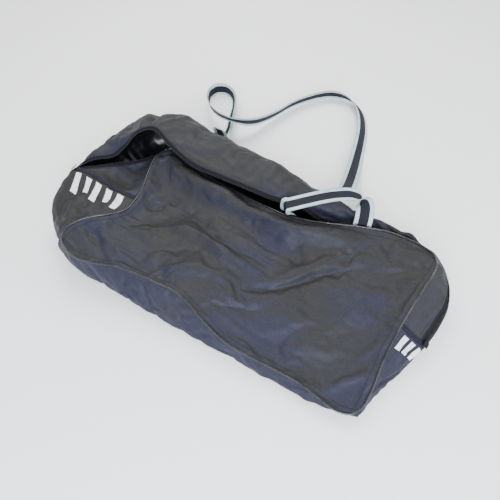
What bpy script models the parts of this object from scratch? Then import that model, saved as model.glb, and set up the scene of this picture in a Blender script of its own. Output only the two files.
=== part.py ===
"""Hockey carry bag, slumped on its back panel with the zip open at one corner.

Frame: +X along the bag, +Y from the bottom gusset to the zipped top, +Z up.
The origin is on the floor, under the middle of the back panel.
Metres throughout.
"""

import math

import bmesh
import bpy
import numpy as np
from mathutils import Matrix, Vector

# ---------------------------------------------------------------- driving dimensions
FABRIC = 0.003            # modelled thickness of every coated fabric panel
SEAM_TRIM = 0.0050        # a panel ends this far short of a piped seam
CROSS_TRIM = 0.0012       # a panel ends this far short of a plain seam
PIPING_RADIUS = 0.0024
WEB_WIDTH = 0.050         # handle webbing
WEB_THICKNESS = 0.0024
TAPE_WIDTH = 0.011        # woven zip tape, edge to teeth
TAPE_THICKNESS = 0.0016
TEETH_RADIUS = 0.0016     # moulded chain on each tape's edge
BACK_HALF_X = (-0.505, 0.430)
BACK_HALF_Y = (-0.212, 0.275)
BACK_CORNER = 0.095
BACK_SEAM_Z = 0.0032

# Zip chain where it is closed: a straight line in the groove, lying flat across.
ZIP_START = Vector((0.120, 0.2350, 0.0740))
ZIP_END = Vector((0.380, 0.2640, 0.0920))
ZIP_ACROSS = Vector((0.0, 0.97, 0.24))
CHAIN_GAP = 0.0014        # between the two rows of teeth
PIECE_GAP = 0.0005        # between the teeth and their tape
TAPE_GAP = 0.0022         # between the tape and the panel it is sewn to
FLAT_TAPE = 0.016         # the tape lies flat this far from the closed teeth
FLAP_SEAMS = (0.17, 0.48, 0.80)  # where the flap is pieced, as shares from its right end
SLIDER_REST_X = 0.145
SLIDER_LENGTH = 0.018
SLIDER_WIDTH = 0.010
SLIDER_PLATE = 0.0013
BRIDGE_LENGTH = 0.0105
BRIDGE_HEIGHT = 0.0045
BRIDGE_WALL = 0.0015
BRIDGE_WIDTH = 0.0024
PULL_LENGTH = 0.026
PULL_WIDTH = 0.008
PULL_THICKNESS = 0.0014
PULL_BAR = 0.0015
PULL_HOLE = 0.0055
ZIP_LEFT_END = (-0.6235, 0.014, 0.1255)
ZIP_RIGHT_END = (0.5075, 0.0225, 0.0455)
END_TAB_SIZE = 0.018
END_TAB_THICKNESS = 0.0022
END_TAB_LIFT = 0.0045

FRONT_BILLOW = 0.022      # how far the front panel swells over the hollow inside
ROLL_LIFT = 0.030         # height of the rolled edge that hides the top seam
FRONT_CORNERS = [(-0.466, -0.208, 0.111), (0.429, -0.219, 0.032), (0.450, 0.218, 0.131), (-0.425, 0.222, 0.130)]

# ---------------------------------------------------------------- seam between front panel and gusset
# From the open corner, down the left end, along the bottom, up the right end
# and back along the top, where the seam hides behind the rolled front edge.
FRONT_SEAM = [
    (-0.412, 0.233, 0.130), (-0.431, 0.214, 0.130), (-0.436, 0.191, 0.130),
    (-0.428, 0.141, 0.120), (-0.399, 0.064, 0.110), (-0.392, 0.020, 0.101),
    (-0.387, -0.028, 0.104), (-0.410, -0.085, 0.119), (-0.438, -0.116, 0.125),
    (-0.463, -0.151, 0.125), (-0.474, -0.182, 0.119), (-0.464, -0.212, 0.110),
    (-0.440, -0.228, 0.103), (-0.405, -0.236, 0.100), (-0.350, -0.229, 0.100),
    (-0.284, -0.208, 0.100), (-0.224, -0.198, 0.100), (-0.151, -0.193, 0.100),
    (-0.090, -0.189, 0.095), (-0.045, -0.196, 0.085), (-0.007, -0.207, 0.075),
    (0.040, -0.219, 0.060), (0.098, -0.227, 0.050), (0.170, -0.227, 0.046),
    (0.237, -0.224, 0.044), (0.290, -0.224, 0.040), (0.346, -0.231, 0.035),
    (0.395, -0.236, 0.031), (0.425, -0.224, 0.031), (0.437, -0.203, 0.036),
    (0.441, -0.165, 0.045), (0.439, -0.123, 0.058), (0.437, -0.066, 0.070),
    (0.440, -0.004, 0.088), (0.446, 0.074, 0.102), (0.453, 0.131, 0.118),
    (0.458, 0.170, 0.130), (0.455, 0.208, 0.131), (0.442, 0.227, 0.131),
    (0.408, 0.242, 0.131), (0.350, 0.249, 0.129), (0.300, 0.250, 0.124),
    (0.250, 0.240, 0.120), (0.200, 0.226, 0.116), (0.130, 0.203, 0.110),
    (0.050, 0.186, 0.104), (-0.050, 0.190, 0.098), (-0.150, 0.200, 0.096),
    (-0.250, 0.212, 0.098), (-0.330, 0.226, 0.104), (-0.380, 0.236, 0.117),
]

# Each gusset station runs from the front seam, over the bulge, to the back seam.
LEFT_END = [
    [(-0.397, 0.028, 0.101), (-0.455, 0.015, 0.118), (-0.547, 0.018, 0.132), (-0.624, 0.015, 0.124),
     (-0.648, 0.015, 0.055), (-0.505, 0.015, 0.003)],
    [(-0.389, -0.035, 0.105), (-0.450, -0.045, 0.120), (-0.540, -0.050, 0.131), (-0.614, -0.050, 0.116),
     (-0.632, -0.053, 0.048), (-0.505, -0.045, 0.003)],
    [(-0.412, -0.088, 0.119), (-0.470, -0.105, 0.128), (-0.530, -0.115, 0.126), (-0.588, -0.124, 0.096),
     (-0.602, -0.126, 0.038), (-0.505, -0.100, 0.003)],
    [(-0.460, -0.150, 0.125), (-0.500, -0.162, 0.120), (-0.531, -0.168, 0.105), (-0.549, -0.171, 0.072),
     (-0.544, -0.170, 0.028), (-0.492, -0.160, 0.003)],
    [(-0.466, -0.208, 0.111), (-0.479, -0.217, 0.096), (-0.485, -0.221, 0.073), (-0.482, -0.219, 0.047),
     (-0.470, -0.211, 0.018), (-0.452, -0.196, 0.003)],
]
BOTTOM = [
    LEFT_END[-1],
    [(-0.410, -0.235, 0.100), (-0.412, -0.241, 0.081), (-0.412, -0.241, 0.059), (-0.410, -0.235, 0.036),
     (-0.404, -0.227, 0.016), (-0.395, -0.212, 0.003)],
    [(-0.300, -0.213, 0.100), (-0.302, -0.229, 0.083), (-0.302, -0.237, 0.060), (-0.301, -0.237, 0.036),
     (-0.299, -0.231, 0.016), (-0.290, -0.212, 0.003)],
    [(-0.150, -0.193, 0.100), (-0.150, -0.216, 0.086), (-0.150, -0.233, 0.062), (-0.150, -0.241, 0.035),
     (-0.150, -0.237, 0.015), (-0.150, -0.212, 0.003)],
    [(-0.020, -0.203, 0.079), (-0.020, -0.222, 0.068), (-0.020, -0.236, 0.050), (-0.020, -0.242, 0.030),
     (-0.020, -0.238, 0.014), (-0.020, -0.212, 0.003)],
    [(0.100, -0.227, 0.050), (0.100, -0.236, 0.044), (0.100, -0.242, 0.034), (0.100, -0.243, 0.023),
     (0.100, -0.237, 0.012), (0.100, -0.212, 0.003)],
    [(0.250, -0.224, 0.043), (0.250, -0.235, 0.038), (0.250, -0.241, 0.029), (0.250, -0.242, 0.020),
     (0.250, -0.236, 0.011), (0.240, -0.212, 0.003)],
    [(0.370, -0.235, 0.032), (0.369, -0.241, 0.028), (0.368, -0.243, 0.022), (0.366, -0.241, 0.016),
     (0.361, -0.234, 0.010), (0.340, -0.212, 0.003)],
    [(0.429, -0.219, 0.032), (0.435, -0.222, 0.028), (0.438, -0.222, 0.023), (0.437, -0.219, 0.017),
     (0.429, -0.211, 0.011), (0.402, -0.184, 0.003)],
]
RIGHT_END = [
    BOTTOM[-1],
    [(0.440, -0.150, 0.050), (0.449, -0.150, 0.044), (0.456, -0.149, 0.035), (0.459, -0.148, 0.024),
     (0.453, -0.147, 0.013), (0.430, -0.130, 0.003)],
    [(0.437, -0.066, 0.070), (0.456, -0.063, 0.063), (0.475, -0.059, 0.051), (0.488, -0.056, 0.034),
     (0.484, -0.054, 0.015), (0.430, -0.050, 0.003)],
    [(0.441, 0.020, 0.092), (0.464, 0.018, 0.080), (0.488, 0.019, 0.063), (0.510, 0.023, 0.038),
     (0.505, 0.024, 0.014), (0.430, 0.020, 0.003)],
]


def chain(x, side, beyond=0.0):
    """Point on the closed chain's row of teeth, or beyond it on the flat tape.

    Side -1 is the front half of the zip and side 1 the back half.
    """
    share = (x - ZIP_START.x) / (ZIP_END.x - ZIP_START.x)
    middle = ZIP_START.lerp(ZIP_END, share)
    reach = TEETH_RADIUS + CHAIN_GAP / 2 + beyond
    return tuple(middle + side * reach * ZIP_ACROSS.normalized())


def closed_front(x, seam, under):
    """Front half where the zip is closed: seam, wall below it, flat tape, teeth."""
    return [seam, under, chain(x, -1, FLAT_TAPE), chain(x, -1)]


def closed_back(x, wall, crest, bulge, foot, seam):
    """Back half where the zip is closed: teeth, flat tape, then over to the back seam."""
    return [chain(x, 1), chain(x, 1, FLAT_TAPE), wall, crest, bulge, foot, seam]


# Front half of the zip panel: front seam down to the zip's front row of teeth.
ZIP_FRONT = [
    [(0.441, 0.020, 0.092), (0.464, 0.018, 0.080), (0.488, 0.019, 0.063), (0.505, 0.022, 0.048)],
    [(0.447, 0.085, 0.104), (0.473, 0.083, 0.090), (0.497, 0.084, 0.072), (0.515, 0.086, 0.054)],
    [(0.456, 0.150, 0.124), (0.482, 0.149, 0.108), (0.502, 0.149, 0.088), (0.516, 0.150, 0.066)],
    [(0.455, 0.208, 0.131), (0.469, 0.214, 0.121), (0.480, 0.218, 0.104), (0.487, 0.221, 0.084)],
    [(0.415, 0.240, 0.131), (0.422, 0.249, 0.122), (0.427, 0.254, 0.110), (0.430, 0.259, 0.098)],
    closed_front(0.372, (0.372, 0.247, 0.130), (0.372, 0.248, 0.104)),
    closed_front(0.330, (0.330, 0.249, 0.127), (0.330, 0.245, 0.101)),
    closed_front(0.280, (0.280, 0.247, 0.122), (0.280, 0.240, 0.096)),
    closed_front(0.230, (0.230, 0.235, 0.118), (0.230, 0.232, 0.092)),
    closed_front(0.180, (0.180, 0.219, 0.114), (0.180, 0.222, 0.088)),
    closed_front(0.150, (0.150, 0.210, 0.112), (0.150, 0.216, 0.086)),
    closed_front(0.120, (0.120, 0.201, 0.109), (0.120, 0.212, 0.084)),
    [(0.050, 0.186, 0.104), (0.050, 0.202, 0.084), (0.050, 0.213, 0.072), (0.050, 0.2260, 0.0670)],
    [(-0.050, 0.190, 0.098), (-0.050, 0.207, 0.082), (-0.050, 0.218, 0.070), (-0.050, 0.224, 0.062)],
    [(-0.150, 0.200, 0.096), (-0.150, 0.218, 0.080), (-0.150, 0.230, 0.068), (-0.150, 0.236, 0.060)],
    [(-0.250, 0.212, 0.098), (-0.250, 0.230, 0.082), (-0.250, 0.242, 0.070), (-0.250, 0.248, 0.062)],
    [(-0.330, 0.226, 0.104), (-0.334, 0.244, 0.088), (-0.337, 0.255, 0.076), (-0.338, 0.260, 0.068)],
    [(-0.395, 0.236, 0.123), (-0.404, 0.249, 0.106), (-0.410, 0.257, 0.092), (-0.413, 0.261, 0.080)],
    [(-0.431, 0.214, 0.130), (-0.445, 0.219, 0.113), (-0.456, 0.224, 0.100), (-0.463, 0.228, 0.090)],
    [(-0.434, 0.165, 0.125), (-0.452, 0.168, 0.105), (-0.472, 0.172, 0.097), (-0.489, 0.168, 0.102)],
    [(-0.418, 0.110, 0.116), (-0.450, 0.108, 0.092), (-0.492, 0.112, 0.090), (-0.528, 0.118, 0.112)],
    [(-0.399, 0.064, 0.110), (-0.445, 0.054, 0.097), (-0.510, 0.058, 0.108), (-0.573, 0.056, 0.125)],
    [(-0.397, 0.028, 0.101), (-0.455, 0.016, 0.118), (-0.547, 0.018, 0.132), (-0.617, 0.016, 0.128)],
]
# Back half of the zip panel: the zip's back row, over the top, to the back seam.
ZIP_BACK = [
    [(0.509, 0.023, 0.042), (0.511, 0.023, 0.035), (0.511, 0.024, 0.027), (0.507, 0.024, 0.019),
     (0.498, 0.024, 0.013), (0.478, 0.023, 0.008), (0.430, 0.020, 0.003)],
    [(0.519, 0.087, 0.048), (0.522, 0.087, 0.040), (0.523, 0.088, 0.031), (0.520, 0.088, 0.021),
     (0.510, 0.088, 0.013), (0.493, 0.087, 0.008), (0.430, 0.085, 0.003)],
    [(0.521, 0.151, 0.060), (0.524, 0.151, 0.050), (0.525, 0.152, 0.038), (0.521, 0.152, 0.024),
     (0.511, 0.151, 0.013), (0.490, 0.148, 0.008), (0.430, 0.145, 0.003)],
    [(0.491, 0.224, 0.078), (0.494, 0.226, 0.066), (0.496, 0.228, 0.052), (0.493, 0.228, 0.035),
     (0.484, 0.225, 0.018), (0.462, 0.220, 0.009), (0.411, 0.238, 0.003)],
    [(0.434, 0.264, 0.096), (0.437, 0.268, 0.087), (0.439, 0.273, 0.072), (0.439, 0.277, 0.050),
     (0.435, 0.279, 0.026), (0.424, 0.282, 0.011), (0.378, 0.266, 0.003)],
    closed_back(0.372, (0.372, 0.284, 0.104), (0.372, 0.290, 0.104), (0.372, 0.297, 0.070),
                (0.372, 0.296, 0.018), (0.345, 0.275, 0.003)),
    closed_back(0.330, (0.330, 0.279, 0.105), (0.330, 0.288, 0.111), (0.330, 0.300, 0.078),
                (0.330, 0.300, 0.020), (0.310, 0.275, 0.003)),
    closed_back(0.280, (0.280, 0.274, 0.105), (0.280, 0.286, 0.117), (0.280, 0.304, 0.086),
                (0.280, 0.305, 0.022), (0.268, 0.275, 0.003)),
    closed_back(0.230, (0.230, 0.269, 0.105), (0.230, 0.284, 0.124), (0.230, 0.309, 0.092),
                (0.230, 0.310, 0.023), (0.222, 0.275, 0.003)),
    closed_back(0.180, (0.180, 0.264, 0.105), (0.180, 0.283, 0.131), (0.180, 0.316, 0.099),
                (0.180, 0.318, 0.025), (0.175, 0.275, 0.003)),
    closed_back(0.150, (0.150, 0.261, 0.105), (0.150, 0.283, 0.134), (0.150, 0.321, 0.102),
                (0.150, 0.323, 0.026), (0.147, 0.275, 0.003)),
    closed_back(0.120, (0.120, 0.258, 0.106), (0.120, 0.283, 0.138), (0.120, 0.326, 0.104),
                (0.120, 0.329, 0.026), (0.118, 0.275, 0.003)),
    [(0.050, 0.227, 0.106), (0.050, 0.236, 0.119), (0.050, 0.253, 0.138), (0.050, 0.296, 0.143),
     (0.050, 0.341, 0.100), (0.050, 0.342, 0.026), (0.050, 0.275, 0.003)],
    [(-0.020, 0.204, 0.120), (-0.020, 0.219, 0.132), (-0.020, 0.248, 0.150), (-0.020, 0.300, 0.153),
     (-0.020, 0.351, 0.104), (-0.020, 0.352, 0.028), (-0.020, 0.275, 0.003)],
    [(-0.110, 0.193, 0.132), (-0.110, 0.212, 0.143), (-0.110, 0.248, 0.160), (-0.110, 0.310, 0.160),
     (-0.110, 0.366, 0.108), (-0.110, 0.364, 0.030), (-0.110, 0.275, 0.003)],
    [(-0.200, 0.186, 0.140), (-0.200, 0.211, 0.152), (-0.200, 0.252, 0.169), (-0.200, 0.319, 0.167),
     (-0.200, 0.378, 0.114), (-0.200, 0.376, 0.034), (-0.200, 0.275, 0.003)],
    [(-0.300, 0.183, 0.148), (-0.300, 0.208, 0.162), (-0.300, 0.252, 0.180), (-0.300, 0.323, 0.177),
     (-0.300, 0.384, 0.120), (-0.300, 0.382, 0.038), (-0.300, 0.275, 0.003)],
    [(-0.384, 0.192, 0.180), (-0.385, 0.215, 0.189), (-0.387, 0.259, 0.200), (-0.389, 0.328, 0.189),
     (-0.392, 0.387, 0.130), (-0.390, 0.382, 0.042), (-0.370, 0.275, 0.003)],
    [(-0.452, 0.209, 0.204), (-0.455, 0.231, 0.211), (-0.460, 0.268, 0.214), (-0.468, 0.326, 0.200),
     (-0.476, 0.378, 0.138), (-0.470, 0.372, 0.044), (-0.425, 0.272, 0.003)],
    [(-0.490, 0.178, 0.199), (-0.501, 0.203, 0.207), (-0.518, 0.242, 0.211), (-0.542, 0.302, 0.194),
     (-0.563, 0.345, 0.134), (-0.554, 0.338, 0.043), (-0.476, 0.246, 0.003)],
    [(-0.515, 0.137, 0.164), (-0.531, 0.157, 0.175), (-0.554, 0.187, 0.183), (-0.588, 0.234, 0.172),
     (-0.611, 0.261, 0.120), (-0.600, 0.258, 0.038), (-0.504, 0.190, 0.003)],
    [(-0.546, 0.106, 0.134), (-0.561, 0.119, 0.142), (-0.584, 0.139, 0.150), (-0.611, 0.163, 0.146),
     (-0.630, 0.178, 0.104), (-0.620, 0.178, 0.032), (-0.505, 0.130, 0.003)],
    [(-0.586, 0.062, 0.138), (-0.597, 0.071, 0.141), (-0.612, 0.083, 0.141), (-0.630, 0.096, 0.128),
     (-0.643, 0.102, 0.086), (-0.632, 0.102, 0.028), (-0.505, 0.070, 0.003)],
    [(-0.629, 0.016, 0.120), (-0.634, 0.016, 0.114), (-0.640, 0.016, 0.103), (-0.645, 0.016, 0.084),
     (-0.647, 0.016, 0.056), (-0.625, 0.016, 0.020), (-0.505, 0.015, 0.003)],
]

# Handle routes: centre of the webbing and the direction across its width.
FRONT_LOOP = [
    ((0.040, 0.189, 0.150), (-0.60, 0.80, 0.04)), ((0.072, 0.212, 0.160), (-0.59, 0.81, 0.03)),
    ((0.110, 0.240, 0.169), (-0.58, 0.81, 0.02)), ((0.148, 0.266, 0.174), (-0.60, 0.80, 0.00)),
    ((0.182, 0.285, 0.174), (-0.70, 0.71, 0.02)), ((0.207, 0.290, 0.167), (-0.88, 0.45, 0.10)),
    ((0.222, 0.281, 0.156), (-0.98, 0.10, 0.10)), ((0.229, 0.268, 0.144), (-0.97, -0.16, 0.04)),
    ((0.232, 0.259, 0.134), (-0.96, -0.25, 0.00)),
]
FRONT_LEFT_ANCHOR = [
    ((0.0365, 0.1863, 0.1488), (-0.60, 0.80, 0.04)), ((0.0300, 0.1826, 0.1462), (-0.60, 0.80, 0.04)),
    ((0.0270, 0.1840, 0.1400), (-0.70, 0.70, 0.08)), ((0.0255, 0.1895, 0.1300), (-0.86, 0.50, 0.12)),
    ((0.024, 0.1965, 0.1160), (-0.95, 0.30, 0.10)), ((0.023, 0.205, 0.100), (-1.00, 0.10, 0.00)),
    ((0.022, 0.214, 0.084), (-1.00, 0.00, 0.00)),
]
FRONT_RIGHT_ANCHOR = [
    ((0.2326, 0.2572, 0.1310), (-0.96, -0.25, 0.00)), ((0.2335, 0.2525, 0.1225), (-0.97, -0.22, 0.00)),
    ((0.2340, 0.2475, 0.1110), (-0.97, -0.22, 0.00)), ((0.2340, 0.2440, 0.0980), (-0.97, -0.22, 0.00)),
]
BACK_LOOP = [
    ((-0.338, 0.405, 0.098), (1.00, 0.00, 0.05)), ((-0.350, 0.430, 0.074), (0.93, 0.18, 0.30)),
    ((-0.369, 0.472, 0.046), (0.78, 0.26, 0.55)), ((-0.394, 0.530, 0.027), (0.54, 0.22, 0.80)),
    ((-0.420, 0.586, 0.023), (0.50, 0.20, 0.84)), ((-0.440, 0.634, 0.024), (0.42, 0.18, 0.89)),
    ((-0.462, 0.674, 0.026), (0.26, 0.16, 0.95)), ((-0.494, 0.708, 0.027), (0.06, 0.10, 0.99)),
    ((-0.531, 0.722, 0.027), (0.00, 0.04, 1.00)), ((-0.560, 0.708, 0.027), (-0.04, 0.00, 1.00)),
    ((-0.568, 0.676, 0.027), (-0.06, 0.00, 1.00)), ((-0.551, 0.635, 0.032), (-0.10, -0.04, 0.99)),
    ((-0.511, 0.586, 0.046), (-0.16, -0.20, 0.96)), ((-0.460, 0.544, 0.063), (-0.14, -0.38, 0.91)),
    ((-0.412, 0.522, 0.073), (-0.06, -0.50, 0.86)), ((-0.372, 0.521, 0.073), (0.04, -0.55, 0.83)),
    ((-0.338, 0.541, 0.064), (0.16, -0.50, 0.85)), ((-0.315, 0.576, 0.050), (0.26, -0.36, 0.89)),
    ((-0.300, 0.620, 0.037), (0.36, -0.20, 0.91)), ((-0.281, 0.686, 0.028), (0.42, -0.14, 0.90)),
    ((-0.260, 0.758, 0.026), (0.40, -0.16, 0.90)), ((-0.231, 0.822, 0.025), (0.36, -0.22, 0.90)),
    ((-0.195, 0.872, 0.025), (0.28, -0.30, 0.91)), ((-0.154, 0.903, 0.025), (0.10, -0.42, 0.90)),
    ((-0.112, 0.913, 0.024), (-0.16, -0.50, 0.85)), ((-0.070, 0.903, 0.023), (-0.40, -0.52, 0.76)),
    ((-0.032, 0.874, 0.021), (-0.58, -0.44, 0.69)), ((0.002, 0.828, 0.019), (-0.68, -0.36, 0.64)),
    ((0.029, 0.770, 0.018), (-0.74, -0.28, 0.61)), ((0.052, 0.698, 0.018), (-0.78, -0.22, 0.58)),
    ((0.075, 0.614, 0.020), (-0.86, -0.20, 0.46)), ((0.098, 0.520, 0.036), (-0.95, -0.18, 0.20)),
    ((0.118, 0.434, 0.066), (-0.99, -0.08, 0.04)), ((0.130, 0.374, 0.093), (-0.99, 0.08, 0.02)),
    ((0.1345, 0.3430, 0.1045), (-0.98, 0.18, 0.00)),
]
BACK_LEFT_ANCHOR = [
    ((-0.3362, 0.4000, 0.1040), (1.00, 0.00, 0.03)), ((-0.336, 0.3960, 0.117), (1.00, 0.00, 0.03)),
    ((-0.336, 0.3890, 0.131), (1.00, 0.00, 0.03)), ((-0.336, 0.3785, 0.144), (1.00, 0.00, 0.03)),
]
BACK_RIGHT_ANCHOR = [
    ((0.1350, 0.3385, 0.1062), (-0.98, 0.20, 0.00)), ((0.1352, 0.3265, 0.1130), (-0.98, 0.22, 0.00)),
    ((0.1354, 0.3172, 0.1205), (-0.98, 0.22, 0.00)), ((0.1356, 0.3075, 0.1292), (-0.98, 0.22, 0.00)),
]

MATERIALS = {
    "polyester": ((0.020, 0.021, 0.030), 0.62, 0.0),
    "lining": ((0.012, 0.012, 0.015), 0.35, 0.0),
    "piping": ((0.010, 0.010, 0.012), 0.30, 0.0),
    "webbing": ((0.060, 0.065, 0.080), 0.75, 0.0),
    "zip_tape": ((0.012, 0.012, 0.014), 0.80, 0.0),
    "zip_plastic": ((0.020, 0.020, 0.022), 0.40, 0.0),
    "zip_metal": ((0.180, 0.180, 0.190), 0.35, 1.0),
}


# ---------------------------------------------------------------- curve arithmetic
def hermite(values, knots, at):
    """Smooth interpolation of rows of values given at increasing knots."""
    values = np.asarray(values, float)
    knots = np.asarray(knots, float)
    step = np.diff(knots)
    column = (-1,) + (1,) * (values.ndim - 1)
    slope = np.diff(values, axis=0) / step.reshape(column)
    tangent = np.empty_like(values)
    tangent[0] = slope[0]
    tangent[-1] = slope[-1]
    before = step[:-1].reshape(column)
    after = step[1:].reshape(column)
    tangent[1:-1] = (slope[:-1] * after + slope[1:] * before) / (before + after)
    at = np.clip(np.atleast_1d(at), knots[0], knots[-1])
    i = np.clip(np.searchsorted(knots, at, side="right") - 1, 0, len(knots) - 2)
    width = step[i].reshape(column)
    t = ((at - knots[i]) / step[i]).reshape(column)
    return (
        (2 * t**3 - 3 * t**2 + 1) * values[i]
        + (t**3 - 2 * t**2 + t) * width * tangent[i]
        + (3 * t**2 - 2 * t**3) * values[i + 1]
        + (t**3 - t**2) * width * tangent[i + 1]
    )


def lengths(points):
    """Distance along a line of points, starting at 0."""
    steps = np.linalg.norm(np.diff(points, axis=0), axis=1)
    return np.concatenate([[0.0], np.cumsum(steps)])


def curve(points, count):
    """Evenly spaced points on a smooth curve through the given ones."""
    points = np.asarray(points, float)
    knots = lengths(points)
    dense = hermite(points, knots, np.linspace(0, knots[-1], 12 * len(points)))
    along = lengths(dense)
    even = np.linspace(0, along[-1], count)
    return np.stack([np.interp(even, along, dense[:, k]) for k in range(3)], axis=1)


class Loop:
    """A closed smooth curve that is read by its distance from the first point."""

    def __init__(self, points, count=1200):
        ring = list(points) + [points[0]]
        wrapped = np.asarray([points[-2], points[-1]] + ring + [points[1], points[2]], float)
        knots = lengths(wrapped)
        at = np.linspace(knots[2], knots[-3], count)
        self.dense = hermite(wrapped, knots, at)
        self.along = lengths(self.dense)
        self.length = self.along[-1]

    def nearest(self, point):
        gap = np.linalg.norm(self.dense - np.asarray(point, float), axis=1)
        return self.along[int(np.argmin(gap))]

    def at(self, distance):
        distance = np.mod(distance, self.length)
        return np.stack([np.interp(distance, self.along, self.dense[:, k]) for k in range(3)], axis=-1)


def rounded_rectangle(x_range, y_range, radius, z, per_corner=7, per_side=5):
    """Corner arcs of a rounded rectangle, from the top left one, turning anticlockwise."""
    corners = [
        (x_range[0] + radius, y_range[1] - radius, 90),
        (x_range[0] + radius, y_range[0] + radius, 180),
        (x_range[1] - radius, y_range[0] + radius, 270),
        (x_range[1] - radius, y_range[1] - radius, 0),
    ]
    points = []
    for index, (cx, cy, start) in enumerate(corners):
        for k in range(per_corner):
            turn = math.radians(start + 90 * k / (per_corner - 1))
            points.append((cx + radius * math.cos(turn), cy + radius * math.sin(turn), z))
        after = corners[(index + 1) % 4]
        angle = math.radians(start + 90)
        here = np.array([cx + radius * math.cos(angle), cy + radius * math.sin(angle), z])
        there = np.array([after[0] + radius * math.cos(angle), after[1] + radius * math.sin(angle), z])
        for k in range(1, per_side + 1):
            points.append(tuple(here + (there - here) * k / (per_side + 1)))
    return points


def unwrap(distances, length):
    """Distances along a loop, made to run steadily one way through its start."""
    out = [distances[0]]
    for value in distances[1:]:
        step = (value - out[-1] + length / 2) % length - length / 2
        out.append(out[-1] + step)
    return np.array(out)


FRONT_LOOP_SEAM = Loop(FRONT_SEAM)
BACK_LOOP_SEAM = Loop(rounded_rectangle(BACK_HALF_X, BACK_HALF_Y, BACK_CORNER, BACK_SEAM_Z))


def net(stations, along, front=None, back=None, across=60):
    """Rows of closely spaced points through the stations, with ends exactly on the seams."""
    stations = np.asarray(stations, float)
    gaps = np.linalg.norm(np.diff(stations, axis=0), axis=2).mean(axis=1)
    knots = np.concatenate([[0.0], np.cumsum(gaps)])
    at = np.linspace(0, knots[-1], along)
    rows = hermite(stations, knots, at)
    for seam, column in ((front, 0), (back, -1)):
        if seam is None:
            continue
        marks = unwrap([seam.nearest(p) for p in stations[:, column]], seam.length)
        rows[:, column] = seam.at(hermite(marks, knots, at))
    return np.stack([curve(row, across) for row in rows])


def sliced(rows, start, end, count):
    """The stretch of every row between two distances from its ends, evenly spaced."""
    out = []
    for row, first, last in zip(rows, np.broadcast_to(start, len(rows)), np.broadcast_to(end, len(rows))):
        along = lengths(row)
        even = np.linspace(first, along[-1] - last, count)
        out.append(np.stack([np.interp(even, along, row[:, k]) for k in range(3)], axis=1))
    return np.stack(out)


def densified(points, count=1200):
    """Closely spaced points on the straight runs between the given ones."""
    along = lengths(points)
    even = np.linspace(0, along[-1], count)
    return np.stack([np.interp(even, along, points[:, k]) for k in range(3)], axis=1)


def clearance(rows, line, distance=SEAM_TRIM):
    """How far to go along each row, from its first point, to be the distance from the line."""
    out = []
    for row in rows:
        along = lengths(row)
        steps = np.linspace(0, 4 * distance, 41)
        points = np.stack([np.interp(steps, along, row[:, k]) for k in range(3)], axis=1)
        gaps = np.array([np.linalg.norm(line - p, axis=1).min() for p in points])
        out.append(steps[int(np.argmax(gaps >= distance))])
    return np.array(out)


def shortened(rows, amount):
    """Rows whose first and last have moved towards their neighbours by the amount."""
    rows = rows.copy()
    for edge, inner in ((0, 1), (-1, -2)):
        step = rows[inner] - rows[edge]
        size = np.linalg.norm(step, axis=-1, keepdims=True)
        rows[edge] += step / size * np.minimum(amount, 0.8 * size)
    return rows


# ---------------------------------------------------------------- Blender objects
def clear_scene():
    for item in list(bpy.data.objects):
        bpy.data.objects.remove(item, do_unlink=True)


def material(name):
    colour, roughness, metallic = MATERIALS[name]
    made = bpy.data.materials.get(name) or bpy.data.materials.new(name)
    made.use_nodes = True
    shader = made.node_tree.nodes["Principled BSDF"]
    shader.inputs["Base Color"].default_value = (*colour, 1.0)
    shader.inputs["Roughness"].default_value = roughness
    shader.inputs["Metallic"].default_value = metallic
    made.diffuse_color = (*colour, 1.0)
    return made


def add_object(name, data, finish, place=(0, 0, 0)):
    made = bpy.data.objects.new(name, data)
    made.location = place
    data.materials.append(material(finish))
    BAG.objects.link(made)
    return made


def grid_mesh(name, grid, closed_columns=False):
    """Open surface of quads over a grid of points."""
    rows, columns = grid.shape[:2]
    mesh = bmesh.new()
    verts = [[mesh.verts.new(grid[r, c]) for c in range(columns)] for r in range(rows)]
    for r in range(rows - 1):
        for c in range(columns if closed_columns else columns - 1):
            d = (c + 1) % columns
            mesh.faces.new((verts[r][c], verts[r + 1][c], verts[r + 1][d], verts[r][d]))
    data = bpy.data.meshes.new(name)
    mesh.to_mesh(data)
    mesh.free()
    data.shade_smooth()
    return data


def sheet_object(name, grid, finish, thickness):
    """Fabric of even thickness with the grid as its middle surface."""
    made = add_object(name, grid_mesh(name, grid), finish)
    shell = made.modifiers.new("fabric thickness", "SOLIDIFY")
    shell.thickness = thickness
    shell.offset = 0.0
    return made


def webbing_object(name, stations, count):
    """Flat strap along a route, with the given direction across its width."""
    route = np.array([place for place, _ in stations], float)
    width = np.array([side for _, side in stations], float)
    knots = lengths(route)
    even = np.linspace(0, knots[-1], count)
    centre = hermite(route, knots, even)
    side = hermite(width, knots, even)
    heading = np.gradient(centre, axis=0)
    heading /= np.linalg.norm(heading, axis=1, keepdims=True)
    side -= (side * heading).sum(axis=1, keepdims=True) * heading
    side /= np.linalg.norm(side, axis=1, keepdims=True)
    offsets = np.linspace(-WEB_WIDTH / 2, WEB_WIDTH / 2, 3)
    grid = centre[:, None] + side[:, None] * offsets[None, :, None]
    return sheet_object(name, grid, "webbing", WEB_THICKNESS)


def tube_object(name, points, radius, finish, closed=False, sides=1):
    """Round cord along a line of points."""
    data = bpy.data.curves.new(name, "CURVE")
    data.dimensions = "3D"
    data.bevel_depth = radius
    data.bevel_resolution = sides
    data.use_fill_caps = not closed
    spline = data.splines.new("POLY")
    spline.points.add(len(points) - 1)
    for point, target in zip(spline.points, points):
        point.co = (*target, 1.0)
    spline.use_cyclic_u = closed
    return add_object(name, data, finish)


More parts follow.
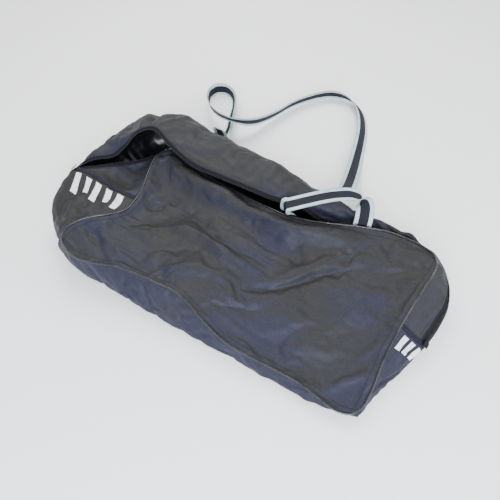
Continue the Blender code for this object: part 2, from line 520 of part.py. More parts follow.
def flat_object(name, outlines, thickness, finish, place, x_axis, y_axis):
    """Flat plate cut to closed outlines, the later ones being holes, facing across x and y."""
    data = bpy.data.curves.new(name, "CURVE")
    data.dimensions = "2D"
    data.fill_mode = "BOTH"
    data.extrude = thickness / 2
    for outline in outlines:
        spline = data.splines.new("POLY")
        spline.points.add(len(outline) - 1)
        for point, target in zip(spline.points, outline):
            point.co = (target[0], target[1], 0.0, 1.0)
        spline.use_cyclic_u = True
    made = add_object(name, data, finish, place)
    x_axis = Vector(x_axis).normalized()
    z_axis = x_axis.cross(Vector(y_axis)).normalized()
    turn = Matrix((x_axis, z_axis.cross(x_axis), z_axis)).transposed()
    made.rotation_euler = turn.to_euler()
    return made


def rounded_outline(x_range, y_range, radius):
    return [p[:2] for p in rounded_rectangle(x_range, y_range, radius, 0.0, 4, 0)]


# ---------------------------------------------------------------- fabric panels
def front_surface(along=60, across=60):
    """Front panel: a patch between four stretches of its seam, with a raised rolled top edge."""
    seam = FRONT_LOOP_SEAM
    marks = unwrap([seam.nearest(p) for p in FRONT_CORNERS + FRONT_CORNERS[:1]], seam.length)
    bottom = seam.at(np.linspace(marks[0], marks[1], along))
    right = seam.at(np.linspace(marks[1], marks[2], across))
    top = seam.at(np.linspace(marks[3], marks[2], along))
    left = seam.at(np.linspace(marks[4], marks[3], across))
    u = np.linspace(0, 1, along)[:, None, None]
    v = np.linspace(0, 1, across)[None, :, None]
    grid = (1 - v) * bottom[:, None] + v * top[:, None] + (1 - u) * left[None] + u * right[None]
    grid -= (1 - u) * (1 - v) * bottom[0] + u * (1 - v) * bottom[-1] + (1 - u) * v * top[0] + u * v * top[-1]
    lift = FRONT_BILLOW * np.sin(math.pi * u) ** 0.6 * np.sin(math.pi * v)
    roll = ROLL_LIFT * np.exp(-(((v - 0.90) / 0.085) ** 2)) * np.clip((0.80 - u) / 0.2, 0, 1)
    roll *= np.clip(u / 0.10, 0, 1) * np.clip((1 - v) / 0.06, 0, 1)
    grid[:, :, 2:] += lift + roll
    return grid


def build_front_panel():
    rows = front_surface()
    seam = FRONT_LOOP_SEAM.dense
    rows = sliced(rows, clearance(rows, seam), clearance(rows[:, ::-1], seam), 17)
    rows = rows.transpose(1, 0, 2)
    rows = sliced(rows, clearance(rows, seam), clearance(rows[:, ::-1], seam), 25)
    sheet_object("front_panel", rows.transpose(1, 0, 2)[:, ::-1], "polyester", FABRIC)


def build_lower_gusset():
    seams = (FRONT_LOOP_SEAM, BACK_LOOP_SEAM)
    for name, stations, along in (
        ("left_end_panel", LEFT_END, 11), ("bottom_panel", BOTTOM, 28), ("right_end_panel", RIGHT_END, 9),
    ):
        rows = net(stations, along, *seams)
        start = clearance(rows, seams[0].dense)
        end = clearance(rows[:, ::-1], seams[1].dense)
        grid = sliced(rows, start, end, 9)
        sheet_object(name, shortened(grid, CROSS_TRIM), "polyester", FABRIC)


def build_zip_half(side, rows, seam, columns, seams=()):
    """One half of the zip panel, its tape and its row of teeth; rows start at the zip."""
    teeth = rows[:, 0]
    tape_start = clearance(rows, densified(teeth), TEETH_RADIUS + PIECE_GAP)
    tape_end = tape_start + TAPE_WIDTH
    grid = sliced(rows, tape_end + TAPE_GAP, clearance(rows[:, ::-1], seam.dense), columns)
    cuts = [0] + [round(share * (len(rows) - 1)) for share in seams] + [len(rows) - 1]
    for number, (first, last) in enumerate(zip(cuts, cuts[1:])):
        name = "zip_panel_" + side + ("_%d" % (number + 1) if seams else "")
        sheet_object(name, shortened(grid[first:last + 1], CROSS_TRIM), "polyester", FABRIC)
    rest = np.array([lengths(row)[-1] for row in rows]) - tape_end
    tape = sliced(rows, tape_start, rest, 3)
    sheet_object("zip_tape_" + side, shortened(tape, CROSS_TRIM), "zip_tape", TAPE_THICKNESS)
    tube_object("zip_teeth_" + side, shortened(teeth, CROSS_TRIM), TEETH_RADIUS, "zip_plastic")


def closed_exactly(rows, side):
    """Rows whose first points, where the zip is closed, lie exactly on the straight chain."""
    for row in rows:
        if ZIP_START.x <= row[0, 0] <= ZIP_END.x - 0.008:
            row[0] = chain(row[0, 0], side)
    return rows


def build_zip_panel():
    rows = closed_exactly(net(ZIP_FRONT, 50, front=FRONT_LOOP_SEAM)[:, ::-1], -1)
    build_zip_half("front", rows, FRONT_LOOP_SEAM, 5)
    rows = closed_exactly(net(ZIP_BACK, 50, back=BACK_LOOP_SEAM), 1)
    build_zip_half("back", rows, BACK_LOOP_SEAM, 10, FLAP_SEAMS)


def build_back_panel():
    """Flat back panel that the bag lies on."""
    inset = SEAM_TRIM
    x_range = (BACK_HALF_X[0] + inset, BACK_HALF_X[1] - inset)
    y_range = (BACK_HALF_Y[0] + inset, BACK_HALF_Y[1] - inset)
    outline = [p[:2] for p in rounded_rectangle(x_range, y_range, BACK_CORNER - inset, 0.0)]
    flat_object("back_panel", [outline], FABRIC, "polyester", (0, 0, FABRIC / 2), (1, 0, 0), (0, 1, 0))


def build_pipings():
    for name, seam, count in (("front_piping", FRONT_LOOP_SEAM, 100), ("back_piping", BACK_LOOP_SEAM, 72)):
        points = seam.at(np.linspace(0, seam.length, count, endpoint=False))
        tube_object(name, points, PIPING_RADIUS, "piping", closed=True)


# ---------------------------------------------------------------- zip slider
def build_slider():
    """Slider on the closed chain, its bridge, and the pull that hinges under the bridge."""
    along = (ZIP_END - ZIP_START).normalized()
    across = (ZIP_ACROSS - ZIP_ACROSS.dot(along) * along).normalized()
    normal = along.cross(across)
    share = (SLIDER_REST_X - ZIP_START.x) / (ZIP_END.x - ZIP_START.x)
    middle = ZIP_START.lerp(ZIP_END, share)

    half = SLIDER_WIDTH / 2
    web = CHAIN_GAP / 2 - 0.0003
    low = TEETH_RADIUS + 0.0004
    high = low + SLIDER_PLATE
    outline = [(-half, low), (-web, low), (-web, -low), (-half, -low), (-half, -high), (half, -high),
               (half, -low), (web, -low), (web, low), (half, low), (half, high), (-half, high)]
    flat_object("zip_slider", [outline], SLIDER_LENGTH, "zip_metal", middle, across, normal)

    foot = high + 0.0003
    reach = BRIDGE_LENGTH / 2
    wall = BRIDGE_WALL
    top = foot + BRIDGE_HEIGHT
    outline = [(-reach, foot), (-reach, top), (reach, top), (reach, foot),
               (reach - wall, foot), (reach - wall, top - wall), (wall - reach, top - wall), (wall - reach, foot)]
    flat_object("slider_bridge", [outline], BRIDGE_WIDTH, "zip_metal", middle, along, normal)

    pivot = middle + normal * (foot + (BRIDGE_HEIGHT - wall) / 2)
    bar = PULL_BAR / 2
    half = PULL_WIDTH / 2
    outer = rounded_outline((-bar, PULL_LENGTH - bar), (-half, half), 0.0012)
    hole = rounded_outline((bar, bar + PULL_HOLE), (-BRIDGE_WIDTH / 2 - 0.0010, BRIDGE_WIDTH / 2 + 0.0010), 0.0006)
    flat_object("zip_pull", [outer, hole], PULL_THICKNESS, "zip_metal", pivot, along, across)


def build_zip_ends():
    """Folded tabs that close both ends of the zip over the cross seams."""
    for name, centre, outward in (("zip_end_left", ZIP_LEFT_END, (-0.72, -0.02, 0.69)),
                                  ("zip_end_right", ZIP_RIGHT_END, (0.80, -0.05, 0.60))):
        outward = Vector(outward).normalized()
        place = Vector(centre) + outward * END_TAB_LIFT
        half = END_TAB_SIZE / 2
        outline = rounded_outline((-half, half), (-half, half), 0.003)
        side = Vector((0, 1, 0))
        side = (side - side.dot(outward) * outward).normalized()
        flat_object(name, [outline], END_TAB_THICKNESS, "webbing", place, side, outward.cross(side))


# ---------------------------------------------------------------- handles
def build_handles():
    webbing_object("front_handle", FRONT_LOOP, 34)
    webbing_object("front_handle_anchor_left", FRONT_LEFT_ANCHOR, 12)
    webbing_object("front_handle_anchor_right", FRONT_RIGHT_ANCHOR, 5)
    webbing_object("back_handle", BACK_LOOP, 110)
    webbing_object("back_handle_anchor_left", BACK_LEFT_ANCHOR, 6)
    webbing_object("back_handle_anchor_right", BACK_RIGHT_ANCHOR, 6)


clear_scene()
BAG = bpy.data.collections.get("skate_bag") or bpy.data.collections.new("skate_bag")
if BAG.name not in bpy.context.scene.collection.children:
    bpy.context.scene.collection.children.link(BAG)
build_front_panel()
build_lower_gusset()
build_zip_panel()
build_back_panel()
build_pipings()
build_slider()
build_zip_ends()
build_handles()
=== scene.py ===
"""Looks of the slumped hockey carry bag: fabric panels, piping, zip and webbing handles.

Frame: +X along the bag, +Y from the bottom gusset to the zipped top, +Z up, metres.
"""

import math

import bmesh
import bpy
import numpy as np
from mathutils import Matrix, Vector


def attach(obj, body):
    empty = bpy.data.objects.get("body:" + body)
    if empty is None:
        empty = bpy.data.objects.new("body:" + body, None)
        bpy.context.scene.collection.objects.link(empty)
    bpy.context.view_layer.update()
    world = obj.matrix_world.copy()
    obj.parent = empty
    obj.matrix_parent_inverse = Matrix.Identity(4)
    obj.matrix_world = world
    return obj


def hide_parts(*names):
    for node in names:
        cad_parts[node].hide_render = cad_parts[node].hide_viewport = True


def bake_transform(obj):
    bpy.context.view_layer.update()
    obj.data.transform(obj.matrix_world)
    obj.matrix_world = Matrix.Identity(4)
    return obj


# ---------------------------------------------------------------- sizes
CLOTH = 0.0012            # coated polyester with its lining
PIPING_RADIUS = 0.0026
WEB_WIDTH = 0.050
WEB_THICKNESS = 0.0021
TAPE_WIDTH = 0.0135       # zip tape, teeth to the panel's folded hem
TEETH_RADIUS = 0.0016
TOOTH_PITCH = 0.0042
TOOTH = (0.0029, 0.0022, 0.0026)
LOOK_AHEAD = 0.001        # a row's direction is taken over this distance
SEAM_GAP = 0.0008         # cloth stops this far from its seam
FLOOR_GAP = 0.0008        # lowest place of the cloth's middle
SEAM_REACH = 0.018        # folds and crumples grow to full height over this distance from a seam
BACK_HALF_X = (-0.505, 0.430)
BACK_HALF_Y = (-0.212, 0.275)
BACK_CORNER = 0.095
BACK_SEAM_Z = 0.0032
ZIP_START = Vector((0.120, 0.2350, 0.0740))
ZIP_END = Vector((0.380, 0.2640, 0.0920))
ZIP_ACROSS = Vector((0.0, 0.97, 0.24))
CHAIN_GAP = 0.0014
FLAT_TAPE = 0.016
FRONT_BILLOW = 0.022
ROLL_LIFT = 0.030
FRONT_CORNERS = [
    (-0.466, -0.208, 0.111), (0.429, -0.219, 0.032), (0.450, 0.218, 0.131), (-0.425, 0.222, 0.130),
]
STITCH = 0.0030
STITCH_GAP = 0.0018
STITCH_THICK = 0.0007
TACK_LONG = 0.022         # sewn box at each end of a handle
TACK_WIDE = 0.036
PRINT_LIFT = 0.0014       # printed marks, above the middle of the cloth
INSIDE = (0.0, 0.03, 0.05)            # a place inside the bag
TACK_BEHIND = np.array([0.0, 0.25, 0.05])     # under all the sewn ends of the handles
NOISE_WAVES = 14
CRUMPLES = ((0.0016, 0.085, 3), (0.0009, 0.034, 4))       # height, size and seed
# Painted blue light: these values set how much cool light is painted into the cloth's colour.
PAINTED_BLUE_REST = 0.24          # how blue level cloth looks, and what each cause adds
PAINTED_BLUE_LEAN = 0.55
PAINTED_BLUE_LOW = 0.24
BLUE_PATCH_TONE = 0.20
UNDERSIDE_Z = 0.0009
UNDERSIDE_CLOTH = 0.0008
FOLD_FADE = 0.25          # share of a fold's length over which it fades at each end
CAMERA_PLACE = (0.465, -0.700, 1.160)
CAMERA_HEADING = 122.5    # degrees from +X
CAMERA_DROP = 51.0        # degrees below the horizon
CAMERA_ROLL = -1.8

# ---------------------------------------------------------------- seam between front panel and gusset
# From the open corner, down the left end, along the bottom, up the right end
# and back along the top, where the seam hides behind the rolled front edge.
FRONT_SEAM = [
    (-0.412, 0.233, 0.130), (-0.431, 0.214, 0.130), (-0.436, 0.191, 0.130),
    (-0.428, 0.141, 0.120), (-0.399, 0.064, 0.110), (-0.392, 0.020, 0.101),
    (-0.387, -0.028, 0.104), (-0.410, -0.085, 0.119), (-0.438, -0.116, 0.125),
    (-0.463, -0.151, 0.125), (-0.474, -0.182, 0.119), (-0.464, -0.212, 0.110),
    (-0.440, -0.228, 0.103), (-0.405, -0.236, 0.100), (-0.350, -0.229, 0.100),
    (-0.284, -0.208, 0.100), (-0.224, -0.198, 0.100), (-0.151, -0.193, 0.100),
    (-0.090, -0.189, 0.095), (-0.045, -0.196, 0.085), (-0.007, -0.207, 0.075),
    (0.040, -0.219, 0.060), (0.098, -0.227, 0.050), (0.170, -0.227, 0.046),
    (0.237, -0.224, 0.044), (0.290, -0.224, 0.040), (0.346, -0.231, 0.035),
    (0.395, -0.236, 0.031), (0.425, -0.224, 0.031), (0.437, -0.203, 0.036),
    (0.441, -0.165, 0.045), (0.439, -0.123, 0.058), (0.437, -0.066, 0.070),
    (0.440, -0.004, 0.088), (0.446, 0.074, 0.102), (0.453, 0.131, 0.118),
    (0.458, 0.170, 0.130), (0.455, 0.208, 0.131), (0.442, 0.227, 0.131),
    (0.408, 0.242, 0.131), (0.350, 0.249, 0.129), (0.300, 0.250, 0.124),
    (0.250, 0.240, 0.120), (0.200, 0.226, 0.116), (0.130, 0.203, 0.110),
    (0.050, 0.186, 0.104), (-0.050, 0.190, 0.098), (-0.150, 0.200, 0.096),
    (-0.250, 0.212, 0.098), (-0.330, 0.226, 0.104), (-0.380, 0.236, 0.117),
]


def at_x(x, *places):
    """Station in the plane at x, from the y and z of its points."""
    return [(x, y, z) for y, z in places]


# Each gusset station runs from the front seam, over the bulge, to the back seam.
LEFT_END = [
    [(-0.397, 0.028, 0.101), (-0.455, 0.015, 0.118), (-0.547, 0.018, 0.132), (-0.624, 0.015, 0.124),
     (-0.648, 0.015, 0.055), (-0.505, 0.015, 0.003)],
    [(-0.389, -0.035, 0.105), (-0.450, -0.045, 0.120), (-0.540, -0.050, 0.131), (-0.614, -0.050, 0.116),
     (-0.632, -0.053, 0.048), (-0.505, -0.045, 0.003)],
    [(-0.412, -0.088, 0.119), (-0.470, -0.105, 0.128), (-0.530, -0.115, 0.126), (-0.588, -0.124, 0.096),
     (-0.602, -0.126, 0.038), (-0.505, -0.100, 0.003)],
    [(-0.460, -0.150, 0.125), (-0.500, -0.162, 0.120), (-0.531, -0.168, 0.105), (-0.549, -0.171, 0.072),
     (-0.544, -0.170, 0.028), (-0.492, -0.160, 0.003)],
    [(-0.466, -0.208, 0.111), (-0.479, -0.217, 0.096), (-0.485, -0.221, 0.073), (-0.482, -0.219, 0.047),
     (-0.470, -0.211, 0.018), (-0.452, -0.196, 0.003)],
]
BOTTOM = [
    LEFT_END[-1],
    [(-0.410, -0.235, 0.100), (-0.412, -0.241, 0.081), (-0.412, -0.241, 0.059), (-0.410, -0.235, 0.036),
     (-0.404, -0.227, 0.016), (-0.395, -0.212, 0.003)],
    [(-0.300, -0.213, 0.100), (-0.302, -0.229, 0.083), (-0.302, -0.237, 0.060), (-0.301, -0.237, 0.036),
     (-0.299, -0.231, 0.016), (-0.290, -0.212, 0.003)],
    at_x(-0.150, (-0.193, 0.100), (-0.216, 0.086), (-0.233, 0.062), (-0.241, 0.035), (-0.237, 0.015),
                 (-0.212, 0.003)),
    at_x(-0.020, (-0.203, 0.079), (-0.222, 0.068), (-0.236, 0.050), (-0.242, 0.030), (-0.238, 0.014),
                 (-0.212, 0.003)),
    at_x(0.100, (-0.227, 0.050), (-0.236, 0.044), (-0.242, 0.034), (-0.243, 0.023), (-0.237, 0.012),
                (-0.212, 0.003)),
    [(0.250, -0.224, 0.043), (0.250, -0.235, 0.038), (0.250, -0.241, 0.029), (0.250, -0.242, 0.020),
     (0.250, -0.236, 0.011), (0.240, -0.212, 0.003)],
    [(0.370, -0.235, 0.032), (0.369, -0.241, 0.028), (0.368, -0.243, 0.022), (0.366, -0.241, 0.016),
     (0.361, -0.234, 0.010), (0.340, -0.212, 0.003)],
    [(0.429, -0.219, 0.032), (0.435, -0.222, 0.028), (0.438, -0.222, 0.023), (0.437, -0.219, 0.017),
     (0.429, -0.211, 0.011), (0.402, -0.184, 0.003)],
]
RIGHT_END = [
    BOTTOM[-1],
    [(0.440, -0.150, 0.050), (0.449, -0.150, 0.044), (0.456, -0.149, 0.035), (0.459, -0.148, 0.024),
     (0.453, -0.147, 0.013), (0.430, -0.130, 0.003)],
    [(0.437, -0.066, 0.070), (0.456, -0.063, 0.063), (0.475, -0.059, 0.051), (0.488, -0.056, 0.034),
     (0.484, -0.054, 0.015), (0.430, -0.050, 0.003)],
    [(0.441, 0.020, 0.092), (0.464, 0.018, 0.080), (0.488, 0.019, 0.063), (0.510, 0.023, 0.038),
     (0.505, 0.024, 0.014), (0.430, 0.020, 0.003)],
]


def chain(x, side, beyond=0.0):
    """Point on the closed chain's row of teeth, or beyond it on the flat tape.

    Side -1 is the front half of the zip and side 1 the back half.
    """
    share = (x - ZIP_START.x) / (ZIP_END.x - ZIP_START.x)
    middle = ZIP_START.lerp(ZIP_END, share)
    reach = TEETH_RADIUS + CHAIN_GAP / 2 + beyond
    return tuple(middle + side * reach * ZIP_ACROSS.normalized())


def closed_front(x, seam, under):
    """Front half where the zip is closed: seam, wall below it, flat tape, teeth."""
    return at_x(x, seam, under) + [chain(x, -1, FLAT_TAPE), chain(x, -1)]


def closed_back(x, wall, crest, bulge, foot, seam_x):
    """Back half where the zip is closed: teeth, flat tape, then over to the back seam."""
    seam = (seam_x, BACK_HALF_Y[1], 0.003)
    return [chain(x, 1), chain(x, 1, FLAT_TAPE)] + at_x(x, wall, crest, bulge, foot) + [seam]


# Front half of the zip panel: front seam down to the zip's front row of teeth.
ZIP_FRONT = [
    [(0.441, 0.020, 0.092), (0.464, 0.018, 0.080), (0.488, 0.019, 0.063), (0.505, 0.022, 0.048)],
    [(0.447, 0.085, 0.104), (0.473, 0.083, 0.090), (0.497, 0.084, 0.072), (0.515, 0.086, 0.054)],
    [(0.456, 0.150, 0.124), (0.482, 0.149, 0.108), (0.502, 0.149, 0.088), (0.516, 0.150, 0.066)],
    [(0.455, 0.208, 0.131), (0.469, 0.214, 0.121), (0.480, 0.218, 0.104), (0.487, 0.221, 0.084)],
    [(0.415, 0.240, 0.131), (0.422, 0.249, 0.122), (0.427, 0.254, 0.110), (0.430, 0.259, 0.098)],
    closed_front(0.372, (0.247, 0.130), (0.248, 0.104)),
    closed_front(0.330, (0.249, 0.127), (0.245, 0.101)),
    closed_front(0.280, (0.247, 0.122), (0.240, 0.096)),
    closed_front(0.230, (0.235, 0.118), (0.232, 0.092)),
    closed_front(0.180, (0.219, 0.114), (0.222, 0.088)),
    closed_front(0.150, (0.210, 0.112), (0.216, 0.086)),
    closed_front(0.120, (0.201, 0.109), (0.212, 0.084)),
    at_x(0.050, (0.186, 0.104), (0.202, 0.084), (0.213, 0.072), (0.2260, 0.0670)),
    at_x(-0.050, (0.190, 0.098), (0.207, 0.082), (0.218, 0.070), (0.224, 0.062)),
    at_x(-0.150, (0.200, 0.096), (0.218, 0.080), (0.230, 0.068), (0.236, 0.060)),
    at_x(-0.250, (0.212, 0.098), (0.230, 0.082), (0.242, 0.070), (0.248, 0.062)),
    [(-0.330, 0.226, 0.104), (-0.334, 0.244, 0.088), (-0.337, 0.255, 0.076), (-0.338, 0.260, 0.068)],
    [(-0.395, 0.236, 0.123), (-0.404, 0.249, 0.106), (-0.410, 0.257, 0.092), (-0.413, 0.261, 0.080)],
    [(-0.431, 0.214, 0.130), (-0.445, 0.219, 0.113), (-0.456, 0.224, 0.100), (-0.463, 0.228, 0.090)],
    [(-0.434, 0.165, 0.125), (-0.452, 0.168, 0.105), (-0.472, 0.172, 0.097), (-0.489, 0.168, 0.102)],
    [(-0.418, 0.110, 0.116), (-0.450, 0.108, 0.092), (-0.492, 0.112, 0.090), (-0.528, 0.118, 0.112)],
    [(-0.399, 0.064, 0.110), (-0.445, 0.054, 0.097), (-0.510, 0.058, 0.108), (-0.573, 0.056, 0.125)],
    [(-0.397, 0.028, 0.101), (-0.455, 0.016, 0.118), (-0.547, 0.018, 0.132), (-0.617, 0.016, 0.128)],
]
# Back half of the zip panel: the zip's back row, over the top, to the back seam.
ZIP_BACK = [
    [(0.509, 0.023, 0.042), (0.511, 0.023, 0.035), (0.511, 0.024, 0.027), (0.507, 0.024, 0.019),
     (0.498, 0.024, 0.013), (0.478, 0.023, 0.008), (0.430, 0.020, 0.003)],
    [(0.519, 0.087, 0.048), (0.522, 0.087, 0.040), (0.523, 0.088, 0.031), (0.520, 0.088, 0.021),
     (0.510, 0.088, 0.013), (0.493, 0.087, 0.008), (0.430, 0.085, 0.003)],
    [(0.521, 0.151, 0.060), (0.524, 0.151, 0.050), (0.525, 0.152, 0.038), (0.521, 0.152, 0.024),
     (0.511, 0.151, 0.013), (0.490, 0.148, 0.008), (0.430, 0.145, 0.003)],
    [(0.491, 0.224, 0.078), (0.494, 0.226, 0.066), (0.496, 0.228, 0.052), (0.493, 0.228, 0.035),
     (0.484, 0.225, 0.018), (0.462, 0.220, 0.009), (0.411, 0.238, 0.003)],
    [(0.434, 0.264, 0.096), (0.437, 0.268, 0.087), (0.439, 0.273, 0.072), (0.439, 0.277, 0.050),
     (0.435, 0.279, 0.026), (0.424, 0.282, 0.011), (0.378, 0.266, 0.003)],
    closed_back(0.372, (0.284, 0.104), (0.290, 0.104), (0.297, 0.070), (0.296, 0.018), 0.345),
    closed_back(0.330, (0.279, 0.105), (0.288, 0.111), (0.300, 0.078), (0.300, 0.020), 0.310),
    closed_back(0.280, (0.274, 0.105), (0.286, 0.117), (0.304, 0.086), (0.305, 0.022), 0.268),
    closed_back(0.230, (0.269, 0.105), (0.284, 0.124), (0.309, 0.092), (0.310, 0.023), 0.222),
    closed_back(0.180, (0.264, 0.105), (0.283, 0.131), (0.316, 0.099), (0.318, 0.025), 0.175),
    closed_back(0.150, (0.261, 0.105), (0.283, 0.134), (0.321, 0.102), (0.323, 0.026), 0.147),
    closed_back(0.120, (0.258, 0.106), (0.283, 0.138), (0.326, 0.104), (0.329, 0.026), 0.118),
    at_x(0.050, (0.227, 0.106), (0.236, 0.119), (0.253, 0.138), (0.296, 0.143), (0.341, 0.100),
                (0.342, 0.026), (0.275, 0.003)),
    at_x(-0.020, (0.204, 0.120), (0.219, 0.132), (0.248, 0.150), (0.300, 0.153), (0.351, 0.104),
                 (0.352, 0.028), (0.275, 0.003)),
    at_x(-0.110, (0.193, 0.132), (0.212, 0.143), (0.248, 0.160), (0.310, 0.160), (0.366, 0.108),
                 (0.364, 0.030), (0.275, 0.003)),
    at_x(-0.200, (0.186, 0.140), (0.211, 0.152), (0.252, 0.169), (0.319, 0.167), (0.378, 0.114),
                 (0.376, 0.034), (0.275, 0.003)),
    at_x(-0.300, (0.183, 0.148), (0.208, 0.162), (0.252, 0.180), (0.323, 0.177), (0.384, 0.120),
                 (0.382, 0.038), (0.275, 0.003)),
    [(-0.384, 0.192, 0.180), (-0.385, 0.215, 0.189), (-0.387, 0.259, 0.200), (-0.389, 0.328, 0.189),
     (-0.392, 0.387, 0.130), (-0.390, 0.382, 0.042), (-0.370, 0.275, 0.003)],
    [(-0.452, 0.209, 0.204), (-0.455, 0.231, 0.211), (-0.460, 0.268, 0.214), (-0.468, 0.326, 0.200),
     (-0.476, 0.378, 0.138), (-0.470, 0.372, 0.044), (-0.425, 0.272, 0.003)],
    [(-0.490, 0.178, 0.199), (-0.501, 0.203, 0.207), (-0.518, 0.242, 0.211), (-0.542, 0.302, 0.194),
     (-0.563, 0.345, 0.134), (-0.554, 0.338, 0.043), (-0.476, 0.246, 0.003)],
    [(-0.515, 0.137, 0.164), (-0.531, 0.157, 0.175), (-0.554, 0.187, 0.183), (-0.588, 0.234, 0.172),
     (-0.611, 0.261, 0.120), (-0.600, 0.258, 0.038), (-0.504, 0.190, 0.003)],
    [(-0.546, 0.106, 0.134), (-0.561, 0.119, 0.142), (-0.584, 0.139, 0.150), (-0.611, 0.163, 0.146),
     (-0.630, 0.178, 0.104), (-0.620, 0.178, 0.032), (-0.505, 0.130, 0.003)],
    [(-0.586, 0.062, 0.138), (-0.597, 0.071, 0.141), (-0.612, 0.083, 0.141), (-0.630, 0.096, 0.128),
     (-0.643, 0.102, 0.086), (-0.632, 0.102, 0.028), (-0.505, 0.070, 0.003)],
    [(-0.629, 0.016, 0.120), (-0.634, 0.016, 0.114), (-0.640, 0.016, 0.103), (-0.645, 0.016, 0.084),
     (-0.647, 0.016, 0.056), (-0.625, 0.016, 0.020), (-0.505, 0.015, 0.003)],
]

# Handle routes: centre of the webbing and the direction across its width.
FRONT_LOOP = [
    ((0.040, 0.189, 0.150), (-0.60, 0.80, 0.04)), ((0.072, 0.212, 0.160), (-0.59, 0.81, 0.03)),
    ((0.110, 0.240, 0.169), (-0.58, 0.81, 0.02)), ((0.148, 0.266, 0.174), (-0.60, 0.80, 0.00)),
    ((0.182, 0.285, 0.174), (-0.70, 0.71, 0.02)), ((0.207, 0.290, 0.167), (-0.88, 0.45, 0.10)),
    ((0.222, 0.281, 0.156), (-0.98, 0.10, 0.10)), ((0.229, 0.268, 0.144), (-0.97, -0.16, 0.04)),
    ((0.232, 0.259, 0.134), (-0.96, -0.25, 0.00)),
]
FRONT_LEFT_ANCHOR = [
    ((0.0365, 0.1863, 0.1488), (-0.60, 0.80, 0.04)), ((0.0300, 0.1826, 0.1462), (-0.60, 0.80, 0.04)),
    ((0.0270, 0.1840, 0.1400), (-0.70, 0.70, 0.08)), ((0.0255, 0.1895, 0.1300), (-0.86, 0.50, 0.12)),
    ((0.024, 0.1965, 0.1160), (-0.95, 0.30, 0.10)), ((0.023, 0.205, 0.100), (-1.00, 0.10, 0.00)),
    ((0.022, 0.214, 0.084), (-1.00, 0.00, 0.00)),
]
FRONT_RIGHT_ANCHOR = [
    ((0.2326, 0.2572, 0.1310), (-0.96, -0.25, 0.00)), ((0.2335, 0.2525, 0.1225), (-0.97, -0.22, 0.00)),
    ((0.2340, 0.2475, 0.1110), (-0.97, -0.22, 0.00)), ((0.2340, 0.2440, 0.0980), (-0.97, -0.22, 0.00)),
]
BACK_LOOP = [
    ((-0.338, 0.405, 0.098), (1.00, 0.00, 0.05)), ((-0.350, 0.430, 0.074), (0.93, 0.18, 0.30)),
    ((-0.369, 0.472, 0.046), (0.78, 0.26, 0.55)), ((-0.394, 0.530, 0.027), (0.54, 0.22, 0.80)),
    ((-0.420, 0.586, 0.023), (0.50, 0.20, 0.84)), ((-0.440, 0.634, 0.024), (0.42, 0.18, 0.89)),
    ((-0.462, 0.674, 0.026), (0.26, 0.16, 0.95)), ((-0.494, 0.708, 0.027), (0.06, 0.10, 0.99)),
    ((-0.531, 0.722, 0.027), (0.00, 0.04, 1.00)), ((-0.560, 0.708, 0.027), (-0.04, 0.00, 1.00)),
    ((-0.568, 0.676, 0.027), (-0.06, 0.00, 1.00)), ((-0.551, 0.635, 0.032), (-0.10, -0.04, 0.99)),
    ((-0.511, 0.586, 0.046), (-0.16, -0.20, 0.96)), ((-0.460, 0.544, 0.063), (-0.14, -0.38, 0.91)),
    ((-0.412, 0.522, 0.073), (-0.06, -0.50, 0.86)), ((-0.372, 0.521, 0.073), (0.04, -0.55, 0.83)),
    ((-0.338, 0.541, 0.064), (0.16, -0.50, 0.85)), ((-0.315, 0.576, 0.050), (0.26, -0.36, 0.89)),
    ((-0.300, 0.620, 0.037), (0.36, -0.20, 0.91)), ((-0.281, 0.686, 0.028), (0.42, -0.14, 0.90)),
    ((-0.260, 0.758, 0.026), (0.40, -0.16, 0.90)), ((-0.231, 0.822, 0.025), (0.36, -0.22, 0.90)),
    ((-0.195, 0.872, 0.025), (0.28, -0.30, 0.91)), ((-0.154, 0.903, 0.025), (0.10, -0.42, 0.90)),
    ((-0.112, 0.913, 0.024), (-0.16, -0.50, 0.85)), ((-0.070, 0.903, 0.023), (-0.40, -0.52, 0.76)),
    ((-0.032, 0.874, 0.021), (-0.58, -0.44, 0.69)), ((0.002, 0.828, 0.019), (-0.68, -0.36, 0.64)),
    ((0.029, 0.770, 0.018), (-0.74, -0.28, 0.61)), ((0.052, 0.698, 0.018), (-0.78, -0.22, 0.58)),
    ((0.075, 0.614, 0.020), (-0.86, -0.20, 0.46)), ((0.098, 0.520, 0.036), (-0.95, -0.18, 0.20)),
    ((0.118, 0.434, 0.066), (-0.99, -0.08, 0.04)), ((0.130, 0.374, 0.093), (-0.99, 0.08, 0.02)),
    ((0.1345, 0.3430, 0.1045), (-0.98, 0.18, 0.00)),
]
BACK_LEFT_ANCHOR = [
    ((-0.3362, 0.4000, 0.1040), (1.00, 0.00, 0.03)), ((-0.336, 0.3960, 0.117), (1.00, 0.00, 0.03)),
    ((-0.336, 0.3890, 0.131), (1.00, 0.00, 0.03)), ((-0.336, 0.3785, 0.144), (1.00, 0.00, 0.03)),
]
BACK_RIGHT_ANCHOR = [
    ((0.1350, 0.3385, 0.1062), (-0.98, 0.20, 0.00)), ((0.1352, 0.3265, 0.1130), (-0.98, 0.22, 0.00)),
    ((0.1354, 0.3172, 0.1205), (-0.98, 0.22, 0.00)), ((0.1356, 0.3075, 0.1292), (-0.98, 0.22, 0.00)),
]


